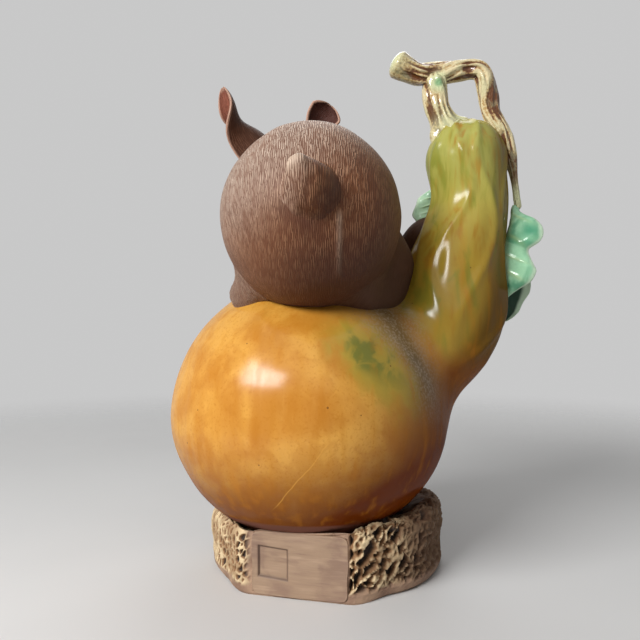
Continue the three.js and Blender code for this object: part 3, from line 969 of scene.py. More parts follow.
@dataclass(frozen=True)
class EarFinish(FurFinish):
    """Combed clay outside, smooth flushed clay inside with painted shade deep in the hollow, a pale worn
    rim.
    """

    shine: float = 0.2
    bloom: float = 0.0
    depth: float = 0.0002
    ridge: Triple = (0.13, 0.055, 0.03)
    body: Triple = (0.085, 0.034, 0.018)
    shade: Triple = (0.06, 0.024, 0.012)
    lining: Triple = (0.25, 0.082, 0.05)
    # Painted shade deep in the ear's hollow.
    deep: Triple = (0.05, 0.013, 0.008)
    rim: Triple = (0.62, 0.37, 0.27)
    lining_cloud: Pair = (60.0, 0.4)

    def clay(self, bench: Easel) -> tuple[Socket, Socket]:
        """The combed clay, with the lining, the painted shade deep in the hollow and the rim kept on the
        mesh.

        Args:
            bench: The material's bench.

        Returns:
            Its colour and its relief.
        """
        colour, height = super().clay(bench)
        patches = bench.clouds(*self.lining_cloud)["Patches"]
        # Painted shade: the deep colour where the lining is not flushed.
        lining = bench.layers(
            self.deep,
            (self.lining, bench.read("open")),
            (self.deep, bench.times(patches, 0.2)),
        )
        return bench.layers(colour, (lining, bench.read("inner")), (self.rim, bench.read("rim"))), height


@dataclass(frozen=True)
class GlazeFinish(Finish):
    """Amber glaze of the gourd, running to olive and green up its neck, with painted shade in umber and
    drab.
    """

    roughness: float = 0.42
    coat: float = 0.6
    shine: float = 0.0
    haze: float = 0.19
    honey: Triple = (0.67, 0.335, 0.06)
    deep: Triple = (0.46, 0.165, 0.014)
    painted_shade_umber: Triple = (0.15, 0.028, 0.002)
    olive: Triple = (0.4, 0.26, 0.028)
    lime: Triple = (0.37, 0.355, 0.08)
    tan: Triple = (0.34, 0.16, 0.012)
    painted_shade_drab: Triple = (0.17, 0.085, 0.008)
    tint: Triple = (0.37, 0.275, 0.035)
    green: Triple = (0.17, 0.168, 0.026)
    moss: Triple = (0.2, 0.22, 0.025)
    ash: Triple = (0.36, 0.27, 0.18)
    dusk: Triple = (0.1, 0.075, 0.042)
    foot: Triple = (0.2, 0.085, 0.06)
    speck: Triple = (0.12, 0.04, 0.008)
    broad: Pair = (17.0, 0.9)
    small: Pair = (75.0, 0.5)
    runs: Triple = (150.0, 24.0, 0.2)
    drips: Triple = (110.0, 26.0, 0.5)
    speck_spread: Pair = (110.0, 0.075)
    dimple: Pair = (0.0003, 0.3)
    scratch_at: Triple = (0.0012, 0.0, 0.0988)
    scratch_run: Triple = (-0.613, 0.0, -0.79)
    scratch_length: float = 0.055
    scratch_ends: Pair = (0.004, 0.01)
    scratch_edge: Pair = (0.0005, 0.0001)
    scratch_wander: Pair = (60.0, 0.004)

    def paint(self, bench: Easel) -> None:
        """Lays the runs and patches of the glaze, by what is kept on the mesh.

        Args:
            bench: The material's bench.
        """
        small = bench.clouds(*self.small)
        runs = bench.lines(*self.runs)
        crease = bench.read("crease")
        bare = bench.read("foot")
        tinted = bench.times(bench.read("green"), bench.ramp(small["Patches"], 0.0, 0.8, 0.6, 1.0))
        colour = bench.layers(
            self.deep,
            (self.honey, bench.ramp(bench.clouds(*self.broad)["Patches"], 0.0, 1.0, 0.25, 1.0)),
            (self.deep, bench.ramp(small["Patches"], 0.35, 1.0, 0.0, 0.35)),
            (self.deep, bench.ramp(small["Grains"], 0.5, 0.72, 0.0, 0.45)),
            (self.honey, bench.ramp(runs, 0.45, 0.2, 0.0, 0.35)),
            # Painted shade: umber where the shade mark is.
            (self.painted_shade_umber, bench.read("shade")),
            (self.neck(bench), bench.ramp(bench.read("rise"), 0.0, 0.16)),
            (self.tint, bench.ramp(tinted, 0.0, 0.5, 0.0, 0.85)),
            (self.green, bench.ramp(tinted, 0.42, 0.9)),
            (self.deep, bench.ramp(runs, 0.5, 0.8, 0.0, 0.5)),
            # Darker along the crease band, speckled with ash.
            (self.dusk, bench.times(crease, 0.8)),
            (self.ash, bench.times(crease, bench.ramp(small["Grains"], 0.45, 0.62, 0.1, 0.75))),
            (self.speck, bench.times(bench.dots(*self.speck_spread), 0.7)),
            (self.honey, bench.times(self.scratch(bench), 0.6)),
            (self.foot, bare),
        )
        bench.give("Base Color", colour)
        # The coat is thinner under the painted shade.
        dull = bench.ramp(bench.read("shade"), 0.2, 1.0, 1.0, 0.45)
        glassy = bench.times(bench.ramp(runs, 0.62, 0.4, 0.45, 0.65), dull)
        bench.give("Coat Weight", bench.times(glassy, bench.ramp(bare, 0.2, 0.8, 1.0, 0.1)))
        bench.give("Normal", bench.bump(small["Patches"], *self.dimple))

    def neck(self, bench: Easel) -> Socket:
        """The glaze of the neck, which drips and turns to lime green higher up.

        Args:
            bench: The material's bench.

        Returns:
            Its colour.
        """
        drips = bench.lines(*self.drips)
        return bench.layers(
            self.olive,
            (self.lime, bench.ramp(bench.read("rise"), 0.4, 0.9)),
            (self.moss, bench.ramp(drips, 0.5, 0.68, 0.0, 0.65)),
            (self.tan, bench.ramp(drips, 0.46, 0.3, 0.0, 0.7)),
            # Painted shade on the neck.
            (self.painted_shade_drab, bench.read("shade")),
        )

    def scratch(self, bench: Easel) -> Socket:
        """One hairline scratch down the front of the bulb.

        Args:
            bench: The material's bench.

        Returns:
            Its mask.
        """
        spot = bench.place()
        x, _, z = bench.split(bench.arrow("SUBTRACT", spot, self.scratch_at))
        run_x, _, run_z = self.scratch_run
        way = bench.sums("ADD", bench.times(x, run_x), bench.times(z, run_z))
        off = bench.sums("SUBTRACT", bench.times(x, run_z), bench.times(z, run_x))
        scale, size = self.scratch_wander
        wander = bench.times(bench.noise(spot, scale), size)
        off = bench.sums("SUBTRACT", bench.sums("ADD", off, wander), size / 2.0)
        thin = bench.ramp(bench.sums("ABSOLUTE", off), *self.scratch_edge)
        start, end = self.scratch_ends
        span = bench.times(
            bench.ramp(way, 0.0, start), bench.ramp(way, self.scratch_length, self.scratch_length - end)
        )
        return bench.times(thin, span)


@dataclass(frozen=True)
class BarkFinish(Finish):
    """Thin cream glaze over carved bark, brown and green in the grooves."""

    roughness: float = 0.35
    coat: float = 0.8
    shine: float = 0.1
    depth: float = 0.0008
    cream: Triple = (0.69, 0.58, 0.34)
    tan: Triple = (0.5, 0.32, 0.13)
    brown: Triple = (0.14, 0.05, 0.015)
    pale: Triple = (0.6, 0.64, 0.37)
    green: Triple = (0.13, 0.34, 0.15)
    cloud: Pair = (70.0, 0.8)

    def paint(self, bench: Easel) -> None:
        """Lays the glaze, by the carving and the green runs kept on the mesh.

        Args:
            bench: The material's bench.
        """
        patch = bench.clouds(*self.cloud)
        fine = bench.times(bench.sums("SUBTRACT", patch["Grains"], 0.5), 0.8)
        ridge = bench.sums("ADD", bench.read("ridge"), fine)
        green = bench.read("green")
        colour = bench.layers(
            self.brown,
            (self.tan, bench.ramp(ridge, 0.26, 0.48)),
            (self.cream, bench.ramp(ridge, 0.43, 0.64)),
            (self.pale, bench.ramp(patch["Patches"], 0.6, 1.0, 0.0, 0.3)),
            (self.pale, bench.ramp(green, 0.0, 0.6, 0.0, 0.9)),
            (self.green, bench.ramp(green, 0.6, 1.0, 0.0, 0.8)),
        )
        bench.give("Base Color", colour)
        bench.give("Normal", bench.bump(ridge, self.depth))


@dataclass(frozen=True)
class LeafFinish(Finish):
    """Thick glossy green glaze, pooled dark in the hollows and pale on the edges, with painted highlights
    on the fold and far edge and painted shade inside the far half.
    """

    roughness: float = 0.3
    coat: float = 0.7
    shine: float = 0.0
    haze: float = 0.12
    mint: Triple = (0.31, 0.58, 0.36)
    teal: Triple = (0.05, 0.25, 0.135)
    straw: Triple = (0.5, 0.52, 0.19)
    pale: Triple = (0.6, 0.76, 0.56)
    painted_inside_shade: Triple = (0.018, 0.04, 0.027)
    cloud: Pair = (48.0, 0.8)
    dimple: Pair = (0.0004, 0.5)

    def paint(self, bench: Easel) -> None:
        """Lays the glaze, by the edges and their painted highlights, veins, pools and the painted shade
        inside kept on the mesh.

        Args:
            bench: The material's bench.
        """
        patch = bench.clouds(*self.cloud)
        inside = bench.read("inside")
        colour = bench.layers(
            self.teal,
            (self.mint, bench.ramp(patch["Patches"], 0.0, 0.7, 0.15, 1.0)),
            (self.straw, bench.times(bench.read("vein"), 0.3)),
            (self.teal, bench.read("pool")),
            # Painted shade inside the far half.
            (self.painted_inside_shade, inside),
            # Pale edges, with painted highlights on the fold and far edge, and painted light over the small
            # leaf.
            (self.pale, bench.read("edge")),
        )
        bench.give("Base Color", colour)
        bench.give("Coat Weight", bench.ramp(inside, 0.0, 1.0, 0.7, 0.1))
        bench.give("Normal", bench.bump(patch["Grains"], *self.dimple))


@dataclass(frozen=True)
class RockFinish(Finish):
    """Porous unglazed clay, cream on the ridges and dark in the holes."""

    roughness: float = 0.7
    depth: float = 0.0006
    cream: Triple = (0.74, 0.57, 0.34)
    ochre: Triple = (0.25, 0.125, 0.05)
    peat: Triple = (0.12, 0.058, 0.028)
    dark: Triple = (0.022, 0.011, 0.007)
    wash: Triple = (0.42, 0.27, 0.175)
    stain: Triple = (0.24, 0.14, 0.09)
    cloud: Pair = (45.0, 0.7)

    def paint(self, bench: Easel) -> None:
        """Colours the stone, by the pores, the wear with its painted shade and the smooth parts kept on the
        mesh.

        Args:
            bench: The material's bench.
        """
        patch = bench.clouds(*self.cloud)
        ridge = bench.sums("ADD", bench.read("ridge"), bench.times(patch["Grains"], 0.4))
        worn = bench.read("worn")
        pale = bench.times(bench.ramp(ridge, 0.85, 1.2), bench.ramp(patch["Patches"], 0.0, 0.6, 0.3, 1.0))
        colour = bench.layers(
            self.dark,
            # Painted shade: darker peat and no cream towards the right.
            (bench.mix(self.peat, self.ochre, worn), bench.ramp(ridge, 0.3, 0.9)),
            (self.cream, bench.times(pale, worn)),
            (bench.mix(self.wash, self.stain, patch["Patches"]), bench.read("smooth")),
        )
        bench.give("Base Color", colour)
        bench.give("Normal", bench.bump(patch["Grains"], self.depth))


@dataclass(frozen=True)
class SlabFinish(Finish):
    """Smooth washed clay with faint brush lines."""

    depth: float = 0.0003
    clay: Triple = (0.34, 0.225, 0.145)
    wash: Triple = (0.2, 0.115, 0.085)
    light: Triple = (0.49, 0.335, 0.225)
    line: Triple = (0.07, 0.035, 0.025)
    cloud: Pair = (40.0, 0.9)
    brush: Triple = (50.0, 420.0, 0.0)

    def paint(self, bench: Easel) -> None:
        """Brushes the clay, with the cut border of the recess kept on the mesh.

        Args:
            bench: The material's bench.
        """
        brush = bench.lines(*self.brush)
        colour = bench.layers(
            self.clay,
            (self.wash, bench.ramp(bench.clouds(*self.cloud)["Patches"], 0.4, 1.0, 0.0, 0.5)),
            (self.wash, bench.ramp(brush, 0.5, 0.8, 0.0, 0.6)),
            (self.light, bench.ramp(brush, 0.48, 0.25, 0.0, 0.5)),
            (self.line, bench.read("cut")),
        )
        bench.give("Base Color", colour)
        bench.give("Normal", bench.bump(brush, self.depth))


@dataclass(frozen=True)
class BeadFinish(Finish):
    """Glossy black glaze."""

    roughness: float = 0.3
    coat: float = 0.8
    shine: float = 0.0
    black: Triple = (0.008, 0.006, 0.005)
    brown: Triple = (0.035, 0.016, 0.009)
    cloud: Pair = (160.0, 0.3)

    def paint(self, bench: Easel) -> None:
        """Lays the glaze."""
        patches = bench.clouds(*self.cloud)["Patches"]
        bench.give("Base Color", bench.mix(self.black, self.brown, patches))


@dataclass(frozen=True)
class FloorFinish(Finish):
    """Plain pale table top, fading into the backdrop."""

    pale: Triple = (0.68, 0.676, 0.668)
    dusk: Triple = (0.65, 0.646, 0.638)
    cloud: Pair = (3.0, 0.3)

    def paint(self, bench: Easel) -> None:
        """Colours the table and fades it with the distance.

        Args:
            bench: The material's bench.
        """
        patches = bench.clouds(*self.cloud)["Patches"]
        bench.give("Base Color", bench.mix(self.pale, self.dusk, patches))
        away = bench.put("ShaderNodeVectorMath", {0: bench.place()}, operation="LENGTH").outputs["Value"]
        bench.give("Alpha", bench.ramp(away, 0.35, 1.1, 1.0, 0.0))


class Finishes:
    """All materials of the ornament, each made once."""

    def __init__(self) -> None:
        """Makes the effects and the materials."""
        effects = Effects()
        self.fur = FurFinish().build("combed_clay", effects)
        self.shaded_paw = ShadedPawFinish().build("shaded_smoothed_clay", effects)
        self.ear = EarFinish().build("ear_clay", effects)
        self.amber = GlazeFinish().build("amber_glaze", effects)
        self.olive = GlazeFinish().build("olive_glaze", effects)
        self.bark = BarkFinish().build("bark_glaze", effects)
        self.green = LeafFinish().build("green_glaze", effects)
        self.rock = RockFinish().build("porous_clay", effects)
        self.slab = SlabFinish().build("washed_clay", effects)
        self.bead = BeadFinish().build("black_glaze", effects)
        self.floor = FloorFinish().build("table_top", effects)


# The gourd


@dataclass
class Gourd:
    """Glazed bulb and bent neck, luted together at a soft crease."""

    bulb_at: Triple = (-0.0114, 0.0, 0.1008)
    bulb_r: float = 0.0907
    bulb_low: float = 0.0795
    bulb_reach: float = 0.12
    bulb_grid: Grid = (150, 288)
    neck_stations: tuple[Station, ...] = (
        Station((0.0480, 0.0, 0.1264), 0.0355),
        Station((0.0798, 0.0, 0.1648), 0.0368),
        Station((0.0863, 0.0, 0.1978), 0.0308),
        Station((0.0961, 0.0, 0.2458), 0.0250),
        Station((0.0931, 0.0, 0.2698), 0.0262),
    )
    neck_sides: int = 128
    neck_start: Triple = (0.0, -1.0, 0.0)
    neck_cap_rows: int = 24
    neck_skirt: Pair = (-0.004, 0.014)
    fillet: float = 0.016
    fillet_most: float = 0.010
    overlap: float = 0.00015
    overlap_run: float = 0.004
    wobble: Wave = Wave(0.0006, 0.034, 11, 2)
    rib_height: float = 0.0014
    rib_width: float = 0.12
    rib_turns: tuple[float, ...] = (-2.4, -1.2, -0.45, 0.3, 1.0, 2.1)
    rib_swing: float = 0.28
    rib_wander: float = 60.0
    rib_phase: float = 3.0
    rib_grain: Triple = (0.013, 0.013, 0.05)
    rib_start: Pair = (0.006, 0.03)
    rise_from: float = 0.125
    rise_span: float = 0.165
    crease_width: Pair = (0.009, 0.007)
    crease_wide: Pair = (0.132, 0.165)
    crease_off: float = 0.012
    crease_reach: Pair = (0.012, 0.005)
    crease_back: Triple = (0.3, 0.045, -0.02)
    crease_low: Triple = (0.1, 0.112, 0.140)
    haze: Patch = Patch((0.058, -0.055, 0.118), 0.013, 0.45)
    green: tuple[Patch, ...] = (
        Patch((0.0246, -0.070, 0.146), 0.018, 0.6),
        Patch((0.0080, -0.072, 0.152), 0.014, 0.4),
        Patch((0.0178, -0.074, 0.1405), 0.006, 0.35),
        Patch((0.0330, -0.070, 0.136), 0.022, 0.22),
        Patch((0.0400, -0.066, 0.125), 0.022, 0.35),
        Patch((0.0610, -0.018, 0.213), 0.010, 0.2),
        Patch((0.1000, 0.010, 0.285), 0.024, 0.4),
        Patch((0.1200, -0.005, 0.250), 0.016, 0.35),
    )
    # Painted shade: the bulb darker to the right and towards the bottom, the neck darker along its right
    # edge and low down.
    dark_lean: float = 0.5
    dark_right: Triple = (0.9, 0.015, 0.085)
    dark_low: Triple = (0.85, 0.102, 0.040)
    dark_edge: Triple = (0.8, 0.004, 0.028)
    dark_root: Triple = (0.3, 0.165, 0.026)
    foot_z: float = 0.0445
    foot_wave: Wave = Wave(0.0012, 0.012, 5)
    foot_soft: float = 0.0008

    def __post_init__(self) -> None:
        """Lays the spine of the neck."""
        self.spine = Spine(self.neck_stations)

    def over(self, turn: float, climb: float, lift: float) -> Triple:
        """A place above the bulb.

        Args:
            turn: Degrees round from the camera side, +X way.
            climb: Degrees up from the bulb's middle.
            lift: Height above its skin.

        Returns:
            The place.
        """
        level = (self.bulb_r + lift) * math.cos(math.radians(climb))
        x = self.bulb_at[0] + level * math.sin(math.radians(turn))
        y = self.bulb_at[1] - level * math.cos(math.radians(turn))
        return x, y, self.bulb_at[2] + (self.bulb_r + lift) * math.sin(math.radians(climb))

    def bulb_depth(self, spots: Array) -> Array:
        """Depths below the bulb's skin, which is flatter below its middle.

        Args:
            spots: The places.

        Returns:
            The depths, negative inside.
        """
        full = ball_depth(spots, self.bulb_at, (self.bulb_r,) * 3)
        flat = ball_depth(spots, self.bulb_at, (self.bulb_r, self.bulb_r, self.bulb_low))
        return np.where(spots[:, 2] < self.bulb_at[2], flat, full)

    def depth(self, spots: Array) -> Array:
        """Depths below the skin of bulb and neck together."""
        return melt(self.bulb_depth(spots), self.spine.depth(spots), self.fillet)

    def neck_x(self, z: Array) -> Array:
        """Where the middle of the neck is at each height."""
        return np.interp(z, self.spine.path[:, 2], self.spine.path[:, 0])

    def build(self) -> None:
        """Makes both skins and settles them on the joined shape, crossing at the crease."""
        bulb = star_skin(self.bulb_at, self.bulb_depth, self.bulb_reach, self.bulb_grid)
        neck = self.spine.skin(self.neck_sides, self.neck_start, cap_rows=self.neck_cap_rows)
        self.bulb = Piece("gourd_bulb_skin", bulb)
        self.neck = Piece("gourd_neck_skin", neck)
        for piece, side in ((self.bulb, 1.0), (self.neck, -1.0)):
            spots = piece.spots()
            lead = self.spine.depth(spots) - self.bulb_depth(spots)
            level = side * self.overlap * np.tanh(lead / self.overlap_run)
            piece.settle(self.depth, level, self.fillet_most)
            spots = piece.spots()
            piece.press(self.wobble.at(spots) + self.ribs(spots))
            self.paint(piece, spots)

    def ribs(self, spots: Array) -> Array:
        """Soft ribs that wander down the neck.

        Args:
            spots: The places.

        Returns:
            Their heights.
        """
        x, y, z = spots.T
        turn = np.arctan2(x - self.neck_x(z), -y)
        grain = Grain(self.wobble.seed).layers(spots / np.array(self.rib_grain), self.wobble.layers)
        heights = 0.6 * grain
        for start in self.rib_turns:
            phase = self.rib_wander * (z - self.bulb_at[2]) + self.rib_phase * start
            off = turn - start - self.rib_swing * np.sin(phase)
            heights = heights + bell((off + math.pi) % FULL_TURN - math.pi, self.rib_width)
        return self.rib_height * heights * ease(*self.rib_start, self.bulb_depth(spots))

    def paint(self, piece: Piece, spots: Array) -> None:
        """Marks the rise up the neck, the crease band, the green patches, the painted shade and where the
        glaze stops.

        Args:
            piece: The bulb or the neck.
            spots: Its points.
        """
        bulb = self.bulb_depth(spots)
        x, y, z = spots.T
        on_neck = ease(*self.neck_skirt, bulb)
        piece.mark("rise", np.clip((z - self.rise_from) / self.rise_span, 0.0, 1.0) * on_neck)
        # A darker, speckled band along the crease between bulb and neck.
        width = self.crease_width[0] + grow(self.crease_width[1], *self.crease_wide, z)
        crease_band = bell(self.spine.depth(spots) - self.crease_off - width / 2.0, width)
        crease_band *= ease(*self.crease_reach, np.abs(bulb))
        crease_band *= fade(*self.crease_back, y) * fade(*self.crease_low, z)
        piece.mark("crease", np.clip(crease_band + self.haze.mask(spots), 0.0, 1.0))
        piece.mark("green", np.clip(patched(self.green, spots), 0.0, 1.0))
        # Painted shade, kept as the shade mark.
        lean = x - self.bulb_at[0] - self.dark_lean * (z - self.bulb_at[2])
        weight, root, spread = self.dark_root
        edge = grow(*self.dark_edge, x - self.neck_x(z)) + weight * bell(z - root, spread)
        shade = grow(*self.dark_right, lean) * (1.0 - on_neck) + edge * on_neck
        piece.mark("shade", np.clip(shade + grow(*self.dark_low, z), 0.0, 1.0))
        foot = z - self.foot_z - self.foot_wave.at(spots)
        piece.mark("foot", ease(self.foot_soft, -self.foot_soft, foot))

    def dress(self, finishes: Finishes) -> None:
        """Glazes both pieces."""
        self.bulb.seat("gourd_bulb", Slot.AMBER, finishes.amber)
        self.neck.seat("gourd_neck", Slot.OLIVE, finishes.olive)


# Stem, vine and leaves


@dataclass(frozen=True)
class Carving:
    """Ridges along a stem: how deep, how many round it, where they start and how long they are."""

    depth: float
    count: float
    shift: float
    length: float


@dataclass
class Bark:
    """A carved stem or vine."""

    node: str
    stations: tuple[Station, ...]
    domes: Pair
    green: tuple[Patch, ...] = ()
    dents: tuple[Patch, ...] = ()
    dark_patches: tuple[Patch, ...] = ()
    samples: int = 150
    sides: int = 72
    rounds: int = 6
    start: Triple = (0.0, -1.0, 0.0)
    seed: int = 23
    carve: float = 0.17
    carvings: tuple[Carving, ...] = (
        Carving(1.0, 1.8, 0.0, 0.026),
        Carving(0.7, 4.2, 9.0, 0.016),
        Carving(0.35, 9.0, 5.0, 0.007),
    )
    carve_from: Pair = (-0.003, 0.016)
    twist: float = 0.7
    twist_length: float = 0.018
    lobes: float = 0.0
    lobe_count: float = 5.0
    lobe_run: float = 0.014
    dent_depth: float = 0.0022

    def build(self) -> None:
        """Makes the skin and carves ridges along it."""
        spine = Spine(self.stations, self.samples, self.rounds)
        skin = spine.skin(self.sides, self.start, self.domes)
        self.piece = Piece(f"{self.node}_bark", skin)
        grain = Grain(self.seed)
        runs = skin.runs()
        rise = np.array(UP)
        bent = grain.lumps(rise * (runs / self.twist_length)[:, None] + 0.5)
        turns = skin.turns() + self.twist * bent
        wheel = np.column_stack((np.cos(turns), np.sin(turns), np.zeros(len(turns))))
        relief = np.zeros(len(turns))
        for cut in self.carvings:
            way = (cut.shift + runs / cut.length)[:, None]
            relief += cut.depth * grain.lumps(cut.count * wheel + rise * way)
        relief *= ease(*self.carve_from, runs)
        spots = self.piece.spots()
        dent = np.clip(patched(self.dents, spots), 0.0, 1.0)
        sepal = self.lobes * np.cos(self.lobe_count * turns) * ease(self.lobe_run, 0.0, runs)
        size = np.interp(runs, spine.run, spine.sizes)
        self.piece.press(self.carve * size * relief + sepal - self.dent_depth * dent)
        ridge = 0.48 + 0.7 * relief
        # Dents and patches where the bark is darker.
        ridge -= 0.9 * dent + patched(self.dark_patches, spots)
        self.piece.mark("ridge", np.clip(ridge, 0.0, 1.0))
        self.piece.mark("green", np.clip(patched(self.green, spots), 0.0, 1.0))

    def dress(self, finishes: Finishes) -> None:
        """Glazes the bark."""
        self.piece.seat(self.node, Slot.BARK, finishes.bark)


VINE = Bark(
    node="vine",
    stations=(
        Station((0.0482, 0.0, 0.3343), 0.0092),
        Station((0.0530, 0.0, 0.3316), 0.0082),
        Station((0.0600, 0.0, 0.3288), 0.0073),
        Station((0.0738, 0.0, 0.3288), 0.0068),
        Station((0.0881, 0.0, 0.3310), 0.0064),
        Station((0.1026, 0.0, 0.3308), 0.0064),
        Station((0.1086, 0.0, 0.3154), 0.0068),
        Station((0.1104, 0.0, 0.3029), 0.0061),
        Station((0.1167, 0.0, 0.2887), 0.0058),
        Station((0.1232, 0.0, 0.2724), 0.0044),
        Station((0.1259, 0.0, 0.2580), 0.0025),
        Station((0.1282, 0.0, 0.2397), 0.0023),
    ),
    domes=(0.55, 1.0),
    green=(
        Patch((0.0445, -0.003, 0.337), 0.0095, 0.6),
        Patch((0.0745, -0.006, 0.3215), 0.0055, 1.0),
        Patch((0.127, 0.0, 0.245), 0.012, 0.5),
    ),
    dents=(
        Patch((0.0700, -0.0075, 0.3270), 0.0042),
        Patch((0.0560, -0.0080, 0.3225), 0.0040),
        Patch((0.0940, -0.0060, 0.3295), 0.0036),
    ),
    # Patches where the bark is darker.
    dark_patches=(
        Patch((0.1005, -0.0060, 0.3230), 0.0040, 0.3),
        Patch((0.1180, -0.0050, 0.2850), 0.0060, 0.35),
        Patch((0.1235, -0.0030, 0.2690), 0.0100, 0.5),
    ),
)

STEM = Bark(
    node="gourd_stem",
    stations=(
        Station((0.0838, 0.0, 0.2862), 0.0140),
        Station((0.0806, 0.0, 0.2915), 0.0124),
        Station((0.0780, 0.0, 0.2975), 0.0086),
        Station((0.0738, 0.0, 0.3070), 0.0076),
        Station((0.0726, 0.0, 0.3220), 0.0078),
    ),
    domes=(0.3, 0.8),
    green=(Patch((0.0850, -0.004, 0.288), 0.015, 0.6), Patch((0.0735, -0.0078, 0.320), 0.0055, 1.0)),
    lobes=0.0022,
    samples=90,
)


@dataclass
class Leaf:
    """A folded, lobed leaf."""

    node: str
    spine: tuple[Triple, ...]
    near: tuple[float, ...]
    far: tuple[float, ...]
    lobe: float
    near_way: float
    far_way: float
    rows: int = 150
    sides: int = 144
    half: float = 0.0013
    fold: float = 0.12
    cup: float = 0.0
    roll: float = 0.004
    roll_power: int = 5
    droop: float = 0.12
    ripple: float = 0.0016
    ripple_count: float = 17.0
    # Painted shade inside the far half, and painted light over the whole small leaf.
    painted_inside_shade: float = 0.95
    fade: float = 0.0
    grain: Wave = Wave(0.0004, 0.007, 31, 2)
    vein_height: float = 0.0005
    vein_roots: Triple = (0.05, 0.95, 0.15)
    rim_wave: Wave = Wave(0.04, 0.004, 31)
    pool_wave: Wave = Wave(1.0, 0.013, 31)

    def middle(self, along: Array, across: Array) -> Array:
        """Places of the middle surface of the leaf.

        Args:
            along: Shares of the way along it.
            across: Shares across it, below 0 on the near half.

        Returns:
            The places.
        """
        spot = sweep(self.spine, along)
        for widths, way, sign in ((self.near, self.near_way, -1.0), (self.far, self.far_way, 1.0)):
            wing = (sign * across + np.sqrt(across**2 + self.fold**2)) / 2.0
            out = np.array((math.cos(math.radians(way)), math.sin(math.radians(way)), 0.0))
            curl = np.array((-out[1], out[0], 0.0)) * sign
            full = sweep(widths, along)
            wave = (self.cup * full + self.ripple * np.sin(along * self.ripple_count + sign)) * wing**2
            wave = wave - self.roll * full * wing**self.roll_power
            width = self.lobe * full * wing
            spot = spot + out * width[..., None] + curl * wave[..., None]
            spot[..., 2] -= self.droop * width * wing
        return spot

    def build(self) -> None:
        """Makes the skin and marks its edges with their painted highlights, veins, pools and the painted
        shade inside.
        """
        skin, across, side = Blade(self.half, (self.rows, self.sides)).skin(self.middle)
        self.piece = Piece(f"{self.node}_blade", skin)
        runs = skin.runs()
        spots = self.piece.spots()
        out = np.abs(across)
        vein = bell(across, 0.10)
        for root in np.arange(*self.vein_roots):
            branch = bell(runs - root - 0.10 * out, 0.016)
            vein = np.maximum(vein, branch * ease(1.0, 0.4, out))
        self.piece.press(self.vein_height * vein + self.grain.at(spots))
        self.piece.mark("vein", vein)
        rim = ease(0.84, 0.96, out + self.rim_wave.at(spots))
        # Painted highlight along the far half's outer edge.
        rim = 0.85 * np.maximum(rim, ease(0.70, 0.88, across))
        # Painted highlight along the fold.
        fold = 0.5 * bell(across + 0.06, 0.10) * ease(0.3, 0.45, runs)
        # On the small leaf, fade lays the pale colour all over as painted light.
        self.piece.mark("edge", np.maximum(np.maximum(rim, fold), self.fade))
        hollow = ease(0.35, 0.7, out) * ease(0.97, 0.75, out)
        upper = 0.75 * bell(runs - 0.17, 0.07) * ease(0.25, 0.55, -across)
        pool = upper + 0.5 * hollow * ease(0.1, 0.6, self.pool_wave.at(spots))
        self.piece.mark("pool", np.clip(pool, 0.0, 1.0))
        # Painted shade inside the far half.
        self.piece.mark("inside", grow(self.painted_inside_shade, 0.0, 0.25, across) * (side > 0.0))

    def dress(self, finishes: Finishes) -> None:
        """Glazes the leaf."""
        self.piece.seat(self.node, Slot.GREEN, finishes.green)


LARGE_LEAF = Leaf(
    node="leaf_large",
    spine=(
        (0.1262, 0.0, 0.2395), (0.1172, -0.006, 0.2150), (0.1165, -0.006, 0.1960),
        (0.1168, -0.003, 0.1770), (0.1188, -0.001, 0.1625),
    ),
    near=(
        0.1, 0.22, 0.72, 0.92, 0.98, 0.9, 0.68, 0.66, 0.74, 0.82, 0.88,
        0.84, 0.74, 0.56, 0.34, 0.18, 0.08, 0.05, 0.05, 0.04, 0.04, 0.03,
    ),
    far=(0.12, 0.6, 0.8, 0.95, 1.0, 0.92, 0.62, 0.06),
    lobe=0.024,
    cup=0.006,
    near_way=-24.0,
    far_way=28.0,
    roll=0.006,
)

SMALL_LEAF = Leaf(
    node="leaf_small",
    spine=(
        (0.0814, 0.0172, 0.2566), (0.0774, 0.0213, 0.2464),
        (0.0753, 0.0223, 0.2345), (0.0743, 0.0233, 0.2226),
    ),
    near=(0.35, 0.9, 1.0, 0.95, 0.62, 0.12),
    far=(0.14, 0.8, 0.6, 0.8, 0.1),
    lobe=0.0135,
    near_way=196.0,
    far_way=80.0,
    roll=-0.005,
    # No painted shade inside; painted light over all of it.
    painted_inside_shade=0.0,
    fade=0.45,
    rows=90,
)


# The rabbit


